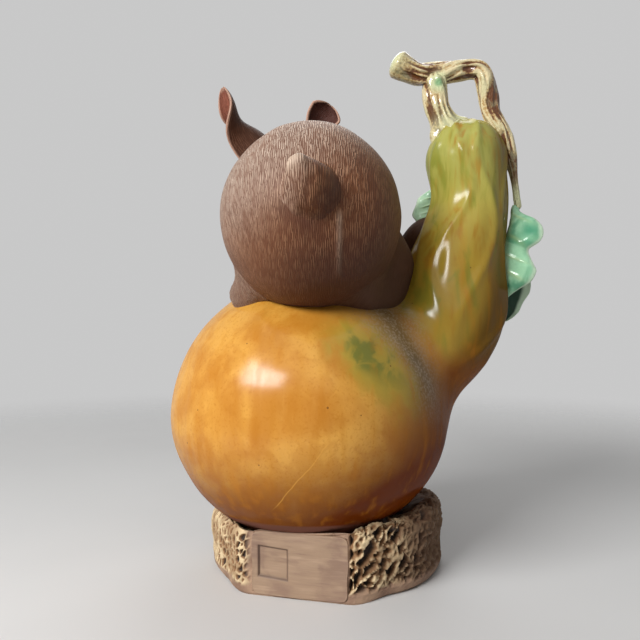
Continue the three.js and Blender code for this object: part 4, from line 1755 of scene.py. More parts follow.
@dataclass
class Trunk:
    """Rump, waist and chest."""

    gourd: Gourd
    stations: tuple[Station, ...] = (
        Station((-0.0104, -0.0462, 0.2245), 0.0537),
        Station((-0.0114, 0.0, 0.2280), 0.050),
        Station((-0.0151, 0.0422, 0.2173), 0.040),
    )
    samples: int = 70
    rounds: int = 4
    inner: Triple = (-0.011, -0.030, 0.226)
    reach: float = 0.16
    grid: Grid = (230, 300)
    sunk: float = 0.003
    under: float = 0.0005
    tall: float = 1.04
    uneven: Wave = Wave(0.0007, 0.024, 41, 2)
    part_x: float = 0.006
    part_fan: float = 2.5
    part_low: float = -0.03
    part_round: float = 0.35
    flank_run: Pair = (-0.03, 0.05)
    flank_wide: float = 0.035
    flank_back: float = 0.6
    flank_down: float = 1.2
    tuft_x: float = 0.0056
    tuft_wide: float = 0.0013
    tuft_low: Pair = (0.184, 0.190)
    tuft_high: Pair = (0.222, 0.216)
    tuft_back: Pair = (-0.06, -0.08)
    tuft_height: float = 0.0007
    # Painted shadows that the tail casts on the rump, beside and below it.
    shade: tuple[Patch, ...] = (
        Patch((0.0050, -0.0980, 0.2280), 0.0065, 0.5),
        Patch((-0.0110, -0.0985, 0.2155), 0.0085, 0.65),
        Patch((-0.0240, -0.0970, 0.2215), 0.0045, 0.4),
    )
    # Painted shade: the rump darker towards the bottom and on its right.
    painted_shade_low: Triple = (0.95, 0.228, 0.175)
    painted_shade_side: Pair = (-0.055, 0.005)
    painted_shade_right: Triple = (0.38, 0.0, 0.045)
    # Painted light: the top and the left of the rump paler, towards the front.
    bleach: Triple = (0.85, 0.212, 0.282)
    painted_light_lean: float = 0.75
    painted_light_back: Pair = (0.0, -0.05)

    def __post_init__(self) -> None:
        """Lays the spine."""
        self.spine = Spine(self.stations, self.samples, self.rounds)

    def depth(self, spots: Array) -> Array:
        """Depths below the skin, whose underside is cut to the gourd."""
        return np.maximum(self.bare_depth(spots), -self.gourd.bulb_depth(spots) - self.sunk)

    def bare_depth(self, spots: Array) -> Array:
        """Depths below the skin before its underside is cut."""
        rump = np.array(self.stations[0].at)
        return self.spine.depth(rump + (spots - rump) / np.array((1.0, 1.0, self.tall)))

    def comb(self, spots: Array) -> Array:
        """Strokes that lie back along the flanks, fall down the rump and draw together there.

        Args:
            spots: The places.

        Returns:
            Their stroke coordinates.
        """
        rump = self.stations[0]
        x, y, z = spots.T
        drawn = np.exp(-self.part_fan * np.maximum(z - rump.at[2], self.part_low))
        spread = (x - self.part_x) * drawn
        around = spread * (1.0 + self.part_round * np.square(spread / rump.r))
        behind = y - rump.at[1]
        fall = self.flank_down * (rump.at[2] + rump.r - z) * ease(*self.flank_run, behind)
        ahead = self.flank_back * np.maximum(behind, 0.0) + fall
        flank = np.tanh((x - rump.at[0]) / self.flank_wide)
        return np.column_stack((around + ahead * flank, y * STROKE_SQUEEZE, z * STROKE_SQUEEZE))

    def joined(self, depth: Array, spots: Array, fillet: float, reach: float) -> Array:
        """Depths below a limb with a skirt that dips under the trunk's skin at its reach."""
        skirt = melt(depth, self.bare_depth(spots) + self.under, fillet)
        return np.maximum(skirt, depth - reach)

    def build(self) -> None:
        """Makes the skin and marks its strokes, painted highlight, painted shade and painted light."""
        self.piece = Piece("rabbit_body_fur", star_skin(self.inner, self.depth, self.reach, self.grid))
        spots = self.piece.spots()
        x, y, z = spots.T
        line = bell(x - self.tuft_x, self.tuft_wide) * ease(*self.tuft_low, z)
        line *= ease(*self.tuft_high, z) * ease(*self.tuft_back, y)
        self.piece.press(self.uneven.at(spots) + self.tuft_height * line)
        self.piece.mark("comb", self.comb(spots))
        # The pale line along this ridge is a painted highlight.
        self.piece.mark("tuft", 0.55 * line)
        # Painted shade and painted shadows.
        stain = grow(*self.painted_shade_low, z) * ease(*self.painted_shade_side, x) + grow(*self.painted_shade_right, x)
        self.piece.mark("stain", np.clip(stain + patched(self.shade, spots), 0.0, 0.9))
        # Painted light on the top and left.
        lit = grow(*self.bleach, z + self.painted_light_lean * (self.stations[0].at[0] - x))
        self.piece.mark("bleach", lit * ease(*self.painted_light_back, y))

    def dress(self, finishes: Finishes) -> None:
        """Combs the clay."""
        self.piece.seat("rabbit_body", Slot.CLAY, finishes.fur)


@dataclass
class Tail:
    """A short upright tail that flares into the rump."""

    trunk: Trunk
    stations: tuple[Station, ...] = (
        Station((-0.0085, -0.0890, 0.2290), 0.0155),
        Station((-0.0105, -0.1025, 0.2325), 0.0122),
        Station((-0.0157, -0.1120, 0.2404), 0.0050),
    )
    samples: int = 50
    rounds: int = 3
    reach: float = 0.09
    grid: Grid = (140, 180)
    fillet: float = 0.004
    skirt: float = 0.007
    groove: float = 0.0005
    groove_size: Triple = (0.0036, 0.02, 0.03)
    groove_seed: int = 43
    groove_layers: int = 2
    # Painted highlight on the tip; painted shadow to the right and below; painted light on the left side.
    painted_tip_highlight: Patch = Patch((-0.0190, -0.1140, 0.2440), 0.0052, 1.7)
    aside: Triple = (0.9, 0.0, -0.4)
    dark_side: Triple = (0.75, 0.004, 0.014)
    dark_under: Triple = (0.55, 0.224, 0.214)
    bleach: Triple = (0.45, 0.006, -0.010)

    def __post_init__(self) -> None:
        """Lays the spine."""
        self.spine = Spine(self.stations, self.samples, self.rounds)

    def depth(self, spots: Array) -> Array:
        """Depths below the skin of the tail with its skirt."""
        return self.trunk.joined(self.spine.depth(spots), spots, self.fillet, self.skirt)

    def build(self) -> None:
        """Makes the skin with grooves up to the tip, and marks its painted shadow, highlight and light."""
        skin = star_skin(self.stations[0].at, self.depth, self.reach, self.grid)
        self.piece = Piece("tail_fur", skin)
        spots = self.piece.spots()
        own = ease(self.skirt / 2.0, 0.0, self.spine.depth(spots))
        cuts = Grain(self.groove_seed).layers(spots / np.array(self.groove_size), self.groove_layers)
        self.piece.press(self.trunk.uneven.at(spots) + self.groove * cuts * own)
        self.piece.mark("comb", self.trunk.comb(spots))
        aside = (spots - np.array(self.stations[1].at)) @ np.array(self.aside)
        # Painted shadow to the right of and under the tail.
        dark = np.maximum(grow(*self.dark_side, aside), grow(*self.dark_under, spots[:, 2]))
        self.piece.mark("stain", dark)
        # Painted highlight on the tip.
        self.piece.mark("tuft", np.clip(self.painted_tip_highlight.mask(spots), 0.0, 1.0))
        # Painted light on the left side.
        self.piece.mark("bleach", grow(*self.bleach, aside))

    def dress(self, finishes: Finishes) -> None:
        """Combs the clay."""
        self.piece.seat("tail", Slot.CLAY, finishes.fur)


@dataclass
class Head:
    """A plain rabbit's head with glazed bead eyes."""

    at: Triple = (-0.0201, 0.0742, 0.2513)
    reach: float = 0.08
    grid: Grid = (240, 320)
    skull: Triple = (0.0350, 0.0360, 0.0355)
    muzzle: Triple = (0.0, 0.0240, -0.0075)
    muzzle_r: Triple = (0.0170, 0.0215, 0.0165)
    muzzle_soft: float = 0.012
    muzzle_pale: Triple = (0.25, 0.020, 0.034)
    cheek: Triple = (0.0150, 0.0120, -0.0125)
    cheek_r: Triple = (0.0170, 0.0170, 0.0170)
    pad: Triple = (0.0072, 0.0350, -0.0110)
    pad_r: Triple = (0.0088, 0.0085, 0.0080)
    brow: Triple = (0.0175, 0.0170, 0.0200)
    brow_r: Triple = (0.0110, 0.0115, 0.0060)
    nose: Triple = (0.0, 0.0430, -0.0030)
    nose_r: Triple = (0.0062, 0.0042, 0.0040)
    nose_soft: float = 0.002
    chin: Triple = (0.0, 0.0290, -0.0215)
    chin_r: Triple = (0.0085, 0.0090, 0.0055)
    eye: Triple = (0.0239, 0.0187, 0.0106)
    eye_r: Triple = (0.0075, 0.0075, 0.0075)
    eye_reach: float = 0.01
    eye_grid: Grid = (40, 64)
    lid_r: Triple = (0.0096, 0.0096, 0.0096)
    lid_out: float = 1.12
    lid_gap: Triple = (0.0080, 0.0080, 0.0064)
    lid_soft: float = 0.0015
    soft: float = 0.007
    crisp: float = 0.003
    front: Pair = (0.030, 0.036)
    line_wide: float = 0.0009
    line_depth: float = 0.0013
    cleft_low: Pair = (-0.018, -0.016)
    cleft_high: Pair = (-0.004, -0.006)
    mouth_z: float = -0.0170
    mouth_fall: float = 0.20
    mouth_end: Pair = (0.0130, 0.0100)
    nostril: Pair = (0.0034, -0.0042)
    nostril_r: float = 0.0013
    nostril_depth: float = 0.0012
    part_low: float = 0.010

    def placed(self, local: Triple, side: int = 1) -> Triple:
        """A place on the head, from the middle of the skull."""
        return self.at[0] + side * local[0], self.at[1] + local[1], self.at[2] + local[2]

    def ball(self, spots: Array, local: Triple, radii: Triple, side: int = 1) -> Array:
        """Depths below a ball of clay on the head."""
        return ball_depth(spots, self.placed(local, side), radii)

    def depth(self, spots: Array) -> Array:
        """Depths below the skin of the head.

        Args:
            spots: The places.

        Returns:
            The depths, negative inside.
        """
        found = ball_depth(spots, self.at, self.skull)
        found = melt(found, self.ball(spots, self.muzzle, self.muzzle_r), self.muzzle_soft)
        found = melt(found, self.ball(spots, self.chin, self.chin_r), self.soft)
        pairs = (
            (self.cheek, self.cheek_r, self.soft),
            (self.brow, self.brow_r, self.soft),
            (self.pad, self.pad_r, self.crisp),
            (self.eye, self.lid_r, self.crisp),
        )
        opening = tuple(self.lid_out * part for part in self.eye)
        for side in Side:
            for local, radii, soft in pairs:
                found = melt(found, self.ball(spots, local, radii, side.value), soft)
            found = -melt(-found, self.ball(spots, opening, self.lid_gap, side.value), self.lid_soft)
        return melt(found, self.ball(spots, self.nose, self.nose_r), self.nose_soft)

    def build(self) -> None:
        """Makes the head and its eyes."""
        self.piece = Piece("rabbit_head_fur", star_skin(self.at, self.depth, self.reach, self.grid))
        spots = self.piece.spots() - np.array(self.at)
        x, y, z = np.abs(spots[:, 0]), spots[:, 1], spots[:, 2]
        front = ease(*self.front, y)
        cleft = bell(x, self.line_wide) * ease(*self.cleft_low, z) * ease(*self.cleft_high, z)
        mouth = bell(z - self.mouth_z + self.mouth_fall * x, self.line_wide) * ease(*self.mouth_end, x)
        nostril = bell(np.hypot(x - self.nostril[0], z - self.nostril[1]), self.nostril_r)
        line = np.maximum(cleft, mouth)
        self.piece.press(-front * (self.line_depth * line + self.nostril_depth * nostril))
        # The cut lines and the nostrils are darker.
        self.piece.mark("stain", 0.8 * front * np.maximum(line, nostril))
        over = self.skull[0] * np.arctan2(x, z + self.part_low)
        self.piece.mark("comb", np.column_stack((over, y * STROKE_SQUEEZE, np.zeros(len(over)))))
        self.piece.mark("tuft", grow(*self.muzzle_pale, y) * (1.0 - nostril))
        self.eyes = {}
        for side in Side:
            at = self.placed(self.eye, side.value)
            ball = partial(ball_depth, centre=at, radii=self.eye_r)
            skin = star_skin(at, ball, self.eye_reach, self.eye_grid)
            self.eyes[side] = Piece(f"eye_{side.word}_bead", skin)

    def dress(self, finishes: Finishes) -> None:
        """Combs the clay and glazes the eyes.

        Args:
            finishes: The materials.
        """
        self.piece.seat("rabbit_head", Slot.CLAY, finishes.fur)
        for side, bead in self.eyes.items():
            bead.seat(f"eye_{side.word}", Slot.BEAD, finishes.bead)


@dataclass
class Ear:
    """A curled ear: a thin blade whose hollow turns as it rises."""

    side: Side
    root: Triple
    length: float
    steps: tuple[Triple, ...]
    widths: tuple[float, ...]
    curl: float
    mouth_low: Triple
    mouth_high: Triple
    twist: Pair = (0.35, 0.85)
    half: float = 0.0017
    half_width: float = 0.0155
    grid: Grid = (130, 120)
    step: float = 0.004
    tip: float = 0.3
    face_gap: float = 0.01
    flush: float = 1.0

    def middle(self, along: Array, across: Array) -> Array:
        """Places of the middle surface of the ear.

        Args:
            along: Shares of the way along it.
            across: Shares across it.

        Returns:
            The places.
        """
        marks = np.array(self.root) + self.length * np.array(((0.0, 0.0, 0.0), *self.steps))
        after = sweep(marks, np.minimum(along + self.step, 1.0))
        ahead = unit(after - sweep(marks, np.maximum(along - self.step, 0.0)))
        turned = ease(*self.twist, along)[..., None]
        mouth = np.array(self.mouth_low) * (1.0 - turned) + np.array(self.mouth_high) * turned
        mouth = unit(mouth - np.sum(mouth * ahead, axis=-1, keepdims=True) * ahead)
        bend = math.radians(self.curl) / 2.0
        end = np.clip((along - 1.0 + self.tip) / self.tip, 0.0, 1.0)
        width = self.half_width * sweep(self.widths, along) * np.sqrt(1.0 - 0.97 * end**2)
        radius = width / math.sin(bend)
        swing = bend * across
        out = np.cross(ahead, mouth) * (radius * np.sin(swing))[..., None]
        return sweep(marks, along) + out + mouth * (radius * (1.0 - np.cos(swing)))[..., None]

    def build(self) -> None:
        """Makes the blade and marks its lining, the painted shade in its hollow and its rim."""
        skin, across, side = Blade(self.half, self.grid).skin(self.middle)
        self.piece = Piece(f"ear_{self.side.word}_blade", skin)
        runs = skin.runs()
        down = runs * self.length * STROKE_SQUEEZE
        self.piece.mark("comb", np.column_stack((across * self.half_width, side * self.face_gap, down)))
        self.piece.mark("tuft", np.zeros(len(runs)))
        rim = np.maximum(ease(0.86, 0.97, np.abs(across)), ease(0.955, 0.99, runs))
        self.piece.mark("rim", 0.85 * rim * ease(0.1, 0.4, runs))
        self.piece.mark("inner", ease(0.0, -0.5, side))
        # Painted shade deep in the hollow, where the lining does not reach.
        self.piece.mark("open", grow(self.flush, 0.35, 0.8, runs))

    def dress(self, finishes: Finishes) -> None:
        """Combs the back and flushes the lining."""
        self.piece.seat(f"ear_{self.side.word}", Slot.CLAY, finishes.ear)


LEFT_EAR = Ear(
    side=Side.LEFT,
    root=(-0.0381, 0.0682, 0.2772),
    length=0.064,
    steps=((-0.2, -0.05, 0.3), (-0.45, -0.09, 0.62), (-0.64, -0.125, 1.0)),
    widths=(0.7, 1.0, 0.85, 0.5),
    curl=130.0,
    mouth_low=(-0.55, 0.83, 0.0),
    mouth_high=(-0.76, -0.64, 0.1),
    twist=(0.36, 0.95),
)

RIGHT_EAR = Ear(
    side=Side.RIGHT,
    root=(0.0004, 0.0682, 0.2786),
    length=0.050,
    steps=((-0.148, -0.03, 0.428), (-0.132, -0.08, 0.73), (-0.008, -0.12, 0.888), (0.066, -0.15, 0.982)),
    widths=(0.4, 0.45, 0.68, 0.8, 0.66),
    # Painted shade over most of the inside.
    flush=0.1,
    curl=120.0,
    mouth_low=(0.3, -0.95, 0.0),
    mouth_high=(0.3, -0.95, 0.0),
)


@dataclass
class Leg:
    """A leg: a limb on the gourd, with a haunch where it has one, ending in toes."""

    node: str
    trunk: Trunk
    stations: tuple[Station, ...]
    haunch_at: Triple | None = None
    haunch_r: Triple = (0.02, 0.02, 0.02)
    samples: int = 80
    rounds: int = 4
    reach: float = 0.09
    grid: Grid = (140, 180)
    limb_sides: int = 110
    limb_start: Triple = (1.0, 0.0, 0.2)
    limb_most: float = 0.006
    soft: float = 0.012
    sunk: float = 0.002
    fillet: float = 0.016
    skirt: float = 0.012
    stipple: float = 0.0
    stipple_size: float = 0.0022
    stipple_seed: int = 53
    stipple_pale: Triple = (0.12, 0.4, 0.9)
    toe_reach: Pair = (0.016, 0.008)
    toe_gaps: Triple = (-0.0035, 0.0, 0.0035)
    toe_gap_wide: float = 0.0008
    toe_gap_depth: float = 0.0012

    def __post_init__(self) -> None:
        """Lays the spine."""
        self.spine = Spine(self.stations, self.samples, self.rounds)

    def depth(self, spots: Array) -> Array:
        """Depths below the skin of haunch, limb and toes, cut to the gourd.

        Args:
            spots: The places.

        Returns:
            The depths, negative inside.
        """
        found = self.spine.depth(spots)
        if self.haunch_at:
            found = melt(found, ball_depth(spots, self.haunch_at, self.haunch_r), self.soft)
        found = self.trunk.joined(found, spots, self.fillet, self.skirt)
        return np.maximum(found, -self.trunk.gourd.bulb_depth(spots) - self.sunk)

    def build(self) -> None:
        """Makes the skin; a plain limb follows its spine and a haunch is seen from its middle."""
        name = f"{self.node}_fur"
        if self.haunch_at:
            self.piece = Piece(name, star_skin(self.haunch_at, self.depth, self.reach, self.grid))
            self.piece.mark("comb", self.trunk.comb(self.piece.spots()))
        else:
            skin = self.spine.skin(self.limb_sides, self.limb_start)
            self.piece = Piece(name, skin)
            self.piece.settle(self.depth, np.zeros(len(skin.spots())), self.limb_most)
            self.piece.mark("comb", skin.comb(float(self.spine.sizes.mean())))
        spots = self.piece.spots()
        bumps = ease(0.0, 0.5, Grain(self.stipple_seed).walls(spots / self.stipple_size))
        self.piece.press(self.stipple * bumps - self.toes(spots) + self.trunk.uneven.at(spots))
        # Pale tops on the stipple, and painted light on the raised strokes of the combed legs.
        pale, bleach = (bumps, 0.4) if self.stipple else (0.0 * bumps, 0.0)
        self.piece.mark("tuft", grow(*self.stipple_pale, pale))
        self.piece.mark("bleach", np.full(len(spots), bleach))

    def toes(self, spots: Array) -> Array:
        """Cuts between the toes.

        Args:
            spots: The places.

        Returns:
            Their depths.
        """
        toe = np.array(self.stations[-1].at)
        near = ease(*self.toe_reach, np.linalg.norm(spots - toe, axis=1))
        away = unit(toe - np.array(self.stations[-2].at))
        across = (spots - toe) @ unit(np.cross(away, UP))
        cuts = sum(bell(across - place, self.toe_gap_wide) for place in self.toe_gaps)
        return self.toe_gap_depth * near * cuts

    def dress(self, finishes: Finishes) -> None:
        """Combs the clay, or smooths it in darker colours that are painted shade."""
        self.piece.seat(self.node, Slot.CLAY, finishes.fur if self.stipple else finishes.shaded_paw)


def legs(trunk: Trunk) -> list[Leg]:
    """The four legs, with the hind feet along the gourd and one arm round its neck.

    Args:
        trunk: The trunk that they join.

    Returns:
        The legs.
    """
    over = trunk.gourd.over
    sole = 0.012
    toe = 0.0096
    shoulder = 0.0150
    elbow = 0.0128
    wrist = 0.0100
    return [
        Leg(
            node="hind_leg_left",
            trunk=trunk,
            stations=(
                Station(over(-50.0, 57.0, 0.0), 0.0104),
                Station(over(-86.0, 61.0, 0.0), 0.0092),
                Station(over(-120.0, 57.0, 0.0), toe),
            ),
            haunch_at=(-0.0385, -0.0050, 0.2050),
            haunch_r=(0.0185, 0.0310, 0.0270),
            stipple=0.0004,
            fillet=0.018,
        ),
        Leg(
            node="hind_leg_right",
            trunk=trunk,
            stations=(
                Station(over(38.0, 57.0, 0.0), sole),
                Station(over(60.0, 57.0, 0.0), sole),
                Station(over(84.0, 54.0, 0.0), toe),
            ),
            haunch_at=(0.0308, -0.0044, 0.1960),
            haunch_r=(0.0264, 0.0285, 0.0300),
        ),
        Leg(
            node="fore_leg_left",
            trunk=trunk,
            stations=(
                Station((-0.0391, 0.0482, 0.2053), shoulder),
                Station(over(212.0, 56.0, 0.010), elbow),
                Station(over(206.0, 46.0, 0.005), wrist),
                Station(over(204.0, 39.0, 0.004), 0.0095),
            ),
            stipple=0.0002,
        ),
        Leg(
            node="fore_leg_right",
            trunk=trunk,
            stations=(
                Station((0.0069, 0.0422, 0.2013), shoulder),
                Station((0.0596, 0.0305, 0.2106), elbow),
                Station((0.0703, 0.0204, 0.2256), wrist),
                Station((0.0856, 0.0289, 0.2286), wrist),
            ),
        ),
    ]


# The rock


@dataclass(frozen=True)
class Pores:
    """Holes of one size in the rock."""

    size: float
    seed: int
    wall: Pair
    wander: Wave

    def holes(self, spots: Array, lean: Array) -> Array:
        """How open the rock is, from 0 on the walls between the holes to 1 inside them."""
        shift = self.wander.at(spots)[:, None]
        return ease(*self.wall, Grain(self.seed).walls(lean / self.size + shift))


def ripples(waves: Sequence[Triple], turn: Array) -> Array:
    """An outline that swells and shrinks round 1, by the height, count and phase of each wave."""
    return 1.0 + sum(height * np.sin(count * turn + phase) for height, count, phase in waves)


@dataclass
class Rock:
    """Porous rock with a seat for the gourd and a smooth place for the panel."""

    gourd: Gourd
    half_width: float = 0.0771
    half_depth: float = 0.0621
    waves: tuple[Triple, ...] = ((0.025, 3.0, 0.6), (0.02, 5.0, -0.4))
    rim: float = 0.038
    rim_rise: float = 0.009
    rim_turn: float = 0.4
    lip: float = 0.004
    seat_drop: float = 0.010
    seat_sunk: float = 0.001
    seat_low: float = 0.024
    profile: tuple[Pair, ...] = (
        (0.94, 0.0), (0.985, 0.05), (1.0, 0.16), (0.99, 0.4), (1.0, 0.65), (0.985, 0.88), (0.93, 1.0),
    )
    sides: int = 620
    wall_rows: int = 84
    top_rows: int = 16
    panel_yaw: float = -14.0
    panel_at: Triple = (-0.017, -0.0585, 0.0198)
    panel_half: Pair = (0.029, 0.0187)
    shoulder: float = 0.022
    facet: float = 0.0002
    tuck: float = 0.018
    cradle: float = 0.0030
    cradle_edge: Pair = (-0.0008, -0.002)
    border: Wave = Wave(0.002, 0.008, 61)
    border_soft: float = 0.0015
    border_soft_left: float = 0.006
    swell: Wave = Wave(0.0022, 0.022, 67, 2)
    swell_lean: float = 0.45
    swell_squeeze: float = 0.62
    large: Pores = Pores(0.0066, 71, (0.10, 0.32), Wave(0.35, 0.006, 73))
    small: Pores = Pores(0.0038, 79, (0.10, 0.36), Wave(0.3, 0.004, 83))
    turned: Pair = (-0.035, 0.015)
    far_fill: Triple = (0.55, 0.050, 0.072)
    pore_depth: float = 0.0024
    pore_deeper: float = 0.0038
    foot: Pair = (0.0045, 0.0085)
    foot_wave: Wave = Wave(0.0015, 0.01, 89)
    top_edge: float = 0.86
    top_band: Pair = (-0.014, -0.004)
    smooth_sunk: Triple = (0.0006, 0.0, 0.004)
    # Wear on the left, and painted shade that darkens the rock towards the right.
    worn: Triple = (0.93, 0.028, 0.058)
    wear_and_shade_wave: Wave = Wave(0.006, 0.012, 101)

    def out(self) -> Array:
        """The direction out of the panel."""
        yaw = math.radians(self.panel_yaw)
        return np.array((math.sin(yaw), -math.cos(yaw), 0.0))

    def aside(self) -> Array:
        """The direction across the panel."""
        yaw = math.radians(self.panel_yaw)
        return np.array((math.cos(yaw), math.sin(yaw), 0.0))

    def skin(self) -> Skin:
        """The plain rock: wall, top and seat, ring by ring from below.

        Returns:
            The rings.
        """
        turn = turns_round(self.sides)
        circle = np.column_stack((np.cos(turn), np.sin(turn)))
        wheel = np.array((self.half_width, self.half_depth)) * circle * ripples(self.waves, turn)[:, None]
        rim = self.rim + self.rim_rise * np.square(np.maximum(0.0, np.cos(turn + self.rim_turn)))
        rows = []
        for across, rise in sweep(self.profile, np.linspace(0.0, 1.0, self.wall_rows)):
            row = np.column_stack((wheel * across, rim * np.clip(rise, 0.0, 1.0)))
            rows.append(self.faced(row, across))
        outer = rows[-1]
        centre = np.array(self.gourd.bulb_at)
        for step in np.linspace(0.0, 1.0, self.top_rows + 1)[1:]:
            height = rim - self.seat_drop * step**3
            drop = (centre[2] - height) / self.gourd.bulb_low
            level = self.gourd.bulb_r * np.sqrt(np.maximum(0.0, 1.0 - drop**2))
            level = level + self.lip * (1.0 - step**2) - self.seat_sunk
            inner = centre[:2] + level[:, None] * circle
            rows.append(np.column_stack((outer[:, :2] * (1.0 - step) + inner * step, height)))
        poles = np.array(((0.0, 0.0, 0.0), (centre[0], 0.0, self.seat_low)))
        return Skin(np.array(rows), poles, turn, np.arange(len(rows), dtype=float))

    def faced(self, row: Array, bulge: float) -> Array:
        """Cuts the facet that holds the panel into one row of the wall.

        Args:
            row: Places round the wall.
            bulge: The wall's outline there, as a share of its widest.

        Returns:
            The places, on the facet across the panel and easing back to the wall beside it.
        """
        wide, tall = self.panel_half
        local = row - np.array(self.panel_at)
        past = np.abs(local @ self.aside()) - wide
        inside = ease(*self.cradle_edge, np.maximum(past, np.abs(local[:, 2]) - tall))
        plane = -self.facet - self.tuck * (1.0 - bulge) - self.cradle * inside
        share = ease(self.shoulder, 0.0, past) * (row[:, 1] < 0.0)
        return row + (share * (plane - local @ self.out()))[:, None] * self.out()

    def build(self) -> None:
        """Makes the rock and sinks the pores."""
        self.piece = Piece("rock_base_stone", self.skin())
        spots = self.piece.spots()
        x, y, z = spots.T
        across = (spots - np.array(self.panel_at)) @ self.aside()
        past = np.abs(across) - self.panel_half[0] + self.border.at(spots)
        soft = self.border_soft + self.border_soft_left * (across < 0.0)
        bare = ease(1.0, 0.0, past / soft) * (y < 0.0)
        lean = np.column_stack((x - self.swell_lean * z, y, self.swell_squeeze * z))
        turned = ease(*self.turned, x)
        large = self.large.holes(spots, lean) * turned * (1.0 - grow(*self.far_fill, x))
        small = self.small.holes(spots, lean) * (0.9 - 0.55 * turned)
        pore = np.maximum(large, small)
        foot = ease(*self.foot, z + self.foot_wave.at(spots))
        edge = np.hypot(x / self.half_width, y / self.half_depth) - self.top_edge
        keep = (1.0 - bare) * foot * np.clip(ease(*self.top_band, edge) + 0.15, 0.0, 1.0)
        depth = self.pore_depth + self.pore_deeper * turned
        rough = keep * (self.swell.at(spots) - depth * pore)
        self.piece.press(rough - (1.0 - keep) * grow(*self.smooth_sunk, z))
        self.piece.mark("ridge", 1.0 - pore)
        # Wear, and painted shade towards the right.
        self.piece.mark("worn", 1.0 - grow(*self.worn, x + self.wear_and_shade_wave.at(spots)))
        self.piece.mark("smooth", 1.0 - (1.0 - bare) * foot)

    def dress(self, finishes: Finishes) -> None:
        """Washes the stone."""
        self.piece.seat("rock_base", Slot.ROCK, finishes.rock)


@dataclass
class Panel:
    """Smooth bare slab on the rock, with one empty square recess."""

    rock: Rock
    thickness: float = 0.005
    corner_power: float = 12.0
    waves: tuple[Triple, ...] = ((0.008, 3.0, 0.0), (0.006, 7.0, 1.0))
    face_share: float = 0.985
    face_rows: int = 78
    sides: int = 420
    edge_rows: tuple[Pair, ...] = ((0.992, 0.00005), (0.997, 0.00015), (1.0, 0.0004), (1.0, 0.004))
    back_shares: Pair = (0.98, 0.6)
    uneven: Wave = Wave(0.0004, 0.012, 97)
    recess_at: Pair = (-0.016, 0.0005)
    recess_half: float = 0.00875
    recess_depth: float = 0.0012
    recess_tilt: float = 4.0
    recess_edge: Pair = (0.0003, -0.0005)
    border_off: float = 0.0001
    border_wide: float = 0.0006
    border_depth: float = 0.0003

    def frames(self) -> Array:
        """Rounded frames from the middle of the face to the back, each a ring.

        Returns:
            For every point of every ring its place across the panel, depth and height.
        """
        turn = turns_round(self.sides)
        power = self.corner_power
        reach = (np.abs(np.cos(turn)) ** power + np.abs(np.sin(turn)) ** power) ** (-1.0 / power)
        reach = reach * ripples(self.waves, turn)
        wide, tall = self.rock.panel_half
        face = [(share, 0.0) for share in np.linspace(0.0, self.face_share, self.face_rows)[1:]]
        back = [(share, self.thickness) for share in self.back_shares]
        rings = []
        for share, depth in (*face, *self.edge_rows, *back):
            across = share * wide * reach * np.cos(turn)
            up = share * tall * reach * np.sin(turn)
            rings.append(np.column_stack((across, np.full(self.sides, depth), up)))
        return np.array(rings)

    def build(self) -> None:
        """Makes the slab and sinks the recess."""
        rings = self.frames()
        across, depth, up = rings.reshape(-1, 3).T
        face = depth == 0.0
        side = across - self.recess_at[0]
        rise = up - self.recess_at[1] + side * math.tan(math.radians(self.recess_tilt))
        inset = np.maximum(np.abs(side), np.abs(rise)) - self.recess_half
        border = face * bell(inset - self.border_off, self.border_wide)
        depth = depth + self.recess_depth * face * ease(*self.recess_edge, inset)
        depth = depth + self.border_depth * border
        depth = depth - face * self.uneven.at(np.column_stack((across, up, up)))
        middle = np.array(self.rock.panel_at)
        flat = middle + across[:, None] * self.rock.aside() + up[:, None] * np.array(UP)
        spots = (flat - depth[:, None] * self.rock.out()).reshape(rings.shape)
        poles = np.array((middle, middle - self.thickness * self.rock.out()))
        skin = Skin(spots, poles, turns_round(self.sides), np.arange(len(rings)))
        self.piece = Piece("rock_panel_slab", skin)
        self.piece.mark("cut", np.append(0.8 * border, (0.0, 0.0)))

    def dress(self, finishes: Finishes) -> None:
        """Washes the clay."""
        self.piece.seat("rock_panel", Slot.SLAB, finishes.slab)


# The studio


@dataclass(frozen=True)
class Softbox:
    """A wide lamp: the way to it, how far it is, its width and height, and its watts."""

    way: Triple
    distance: float
    size: Pair
    power: float


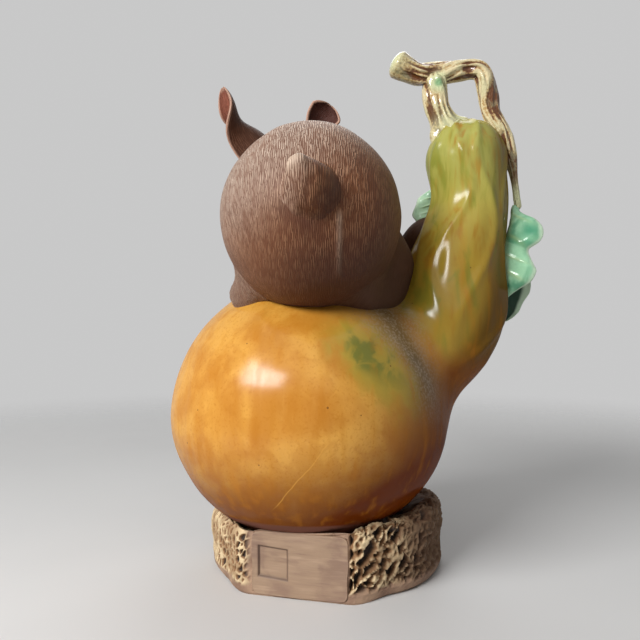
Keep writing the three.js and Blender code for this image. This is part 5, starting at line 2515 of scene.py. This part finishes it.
@dataclass
class Studio:
    """Table, soft lamps and the camera of the photograph."""

    eye: Triple = (-0.0047, -0.431, 0.163)
    lens: float = 36.06
    sensor: float = 36.0
    nearest: float = 0.01
    middle: Triple = (0.0, 0.0, 0.17)
    table_half: float = 3.0
    lamps: tuple[Softbox, ...] = (
        Softbox((-0.585, -0.650, 0.470), 1.20, (0.70, 0.28), 16.2),
        Softbox((-0.10, -0.55, 0.83), 1.50, (1.80, 1.80), 6.0),
        Softbox((0.10, 0.66, 0.74), 1.40, (0.80, 0.80), 4.0),
    )
    sky: float = 0.12
    backdrop: float = 0.58
    white: tuple[float, ...] = (1.0, 1.0, 1.0, 1.0)

    def build(self) -> None:
        """Makes the table, the lamps, the sky and the camera."""
        self.lay_table()
        for number, lamp in enumerate(self.lamps):
            self.hang(f"softbox_{number}", lamp)
        self.open_sky()
        camera = bpy.data.cameras.new("camera")
        camera.lens = self.lens
        camera.sensor_width = self.sensor
        camera.clip_start = self.nearest
        holder = stand("camera", camera)
        holder.location = self.eye
        holder.rotation_euler = (math.pi / 2.0, 0.0, 0.0)
        bpy.context.scene.camera = holder
        bpy.context.scene.view_settings.view_transform = "Standard"

    def lay_table(self) -> None:
        """Makes the table top below the rock."""
        half = self.table_half
        corners = [(-half, -half, 0.0), (half, -half, 0.0), (half, half, 0.0), (-half, half, 0.0)]
        mesh = bpy.data.meshes.new("table")
        mesh.from_pydata(corners, [], [(0, 1, 2, 3)])
        self.table = stand("table", mesh)

    def hang(self, name: str, box: Softbox) -> None:
        """Hangs one softbox that looks at the ornament.

        Args:
            name: The lamp's name.
            box: Its place, size and power.
        """
        lamp = bpy.data.lights.new(name, "AREA")
        lamp.shape = "RECTANGLE"
        lamp.size, lamp.size_y = box.size
        lamp.energy = box.power
        offset = Vector(box.way).normalized() * box.distance
        holder = stand(name, lamp)
        holder.location = Vector(self.middle) + offset
        holder.rotation_euler = offset.to_track_quat("Z", "Y").to_euler()

    def open_sky(self) -> None:
        """Lights the room softly and shows a pale backdrop to the camera and in the glaze."""
        world = bpy.data.worlds.new("room")
        world.use_nodes = True
        bench = Bench(world.node_tree)
        path = bench.put("ShaderNodeLightPath").outputs
        seen = bench.sums("MAXIMUM", path["Is Camera Ray"], path["Is Transmission Ray"])
        seen = bench.sums("MAXIMUM", seen, path["Is Glossy Ray"])
        level = bench.sums("ADD", self.sky, bench.times(seen, self.backdrop - self.sky))
        background = world.node_tree.nodes["Background"].inputs
        bench.feed(background["Strength"], level)
        background["Color"].default_value = self.white
        bpy.context.scene.world = world

    def dress(self, finishes: Finishes) -> None:
        """Covers the table."""
        self.table.data.materials.append(finishes.floor)


def main() -> None:
    """Builds and dresses the ornament, sub-assembly by sub-assembly."""
    logging.basicConfig(level=logging.INFO, format="%(message)s")
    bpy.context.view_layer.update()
    finishes = Finishes()
    gourd = Gourd()
    trunk = Trunk(gourd)
    rock = Rock(gourd)
    animal = [trunk, Tail(trunk), Head(), LEFT_EAR, RIGHT_EAR, *legs(trunk)]
    for part in (rock, Panel(rock), gourd, STEM, VINE, LARGE_LEAF, SMALL_LEAF, *animal, Studio()):
        part.build()
        part.dress(finishes)


if __name__ == "__main__":
    main()
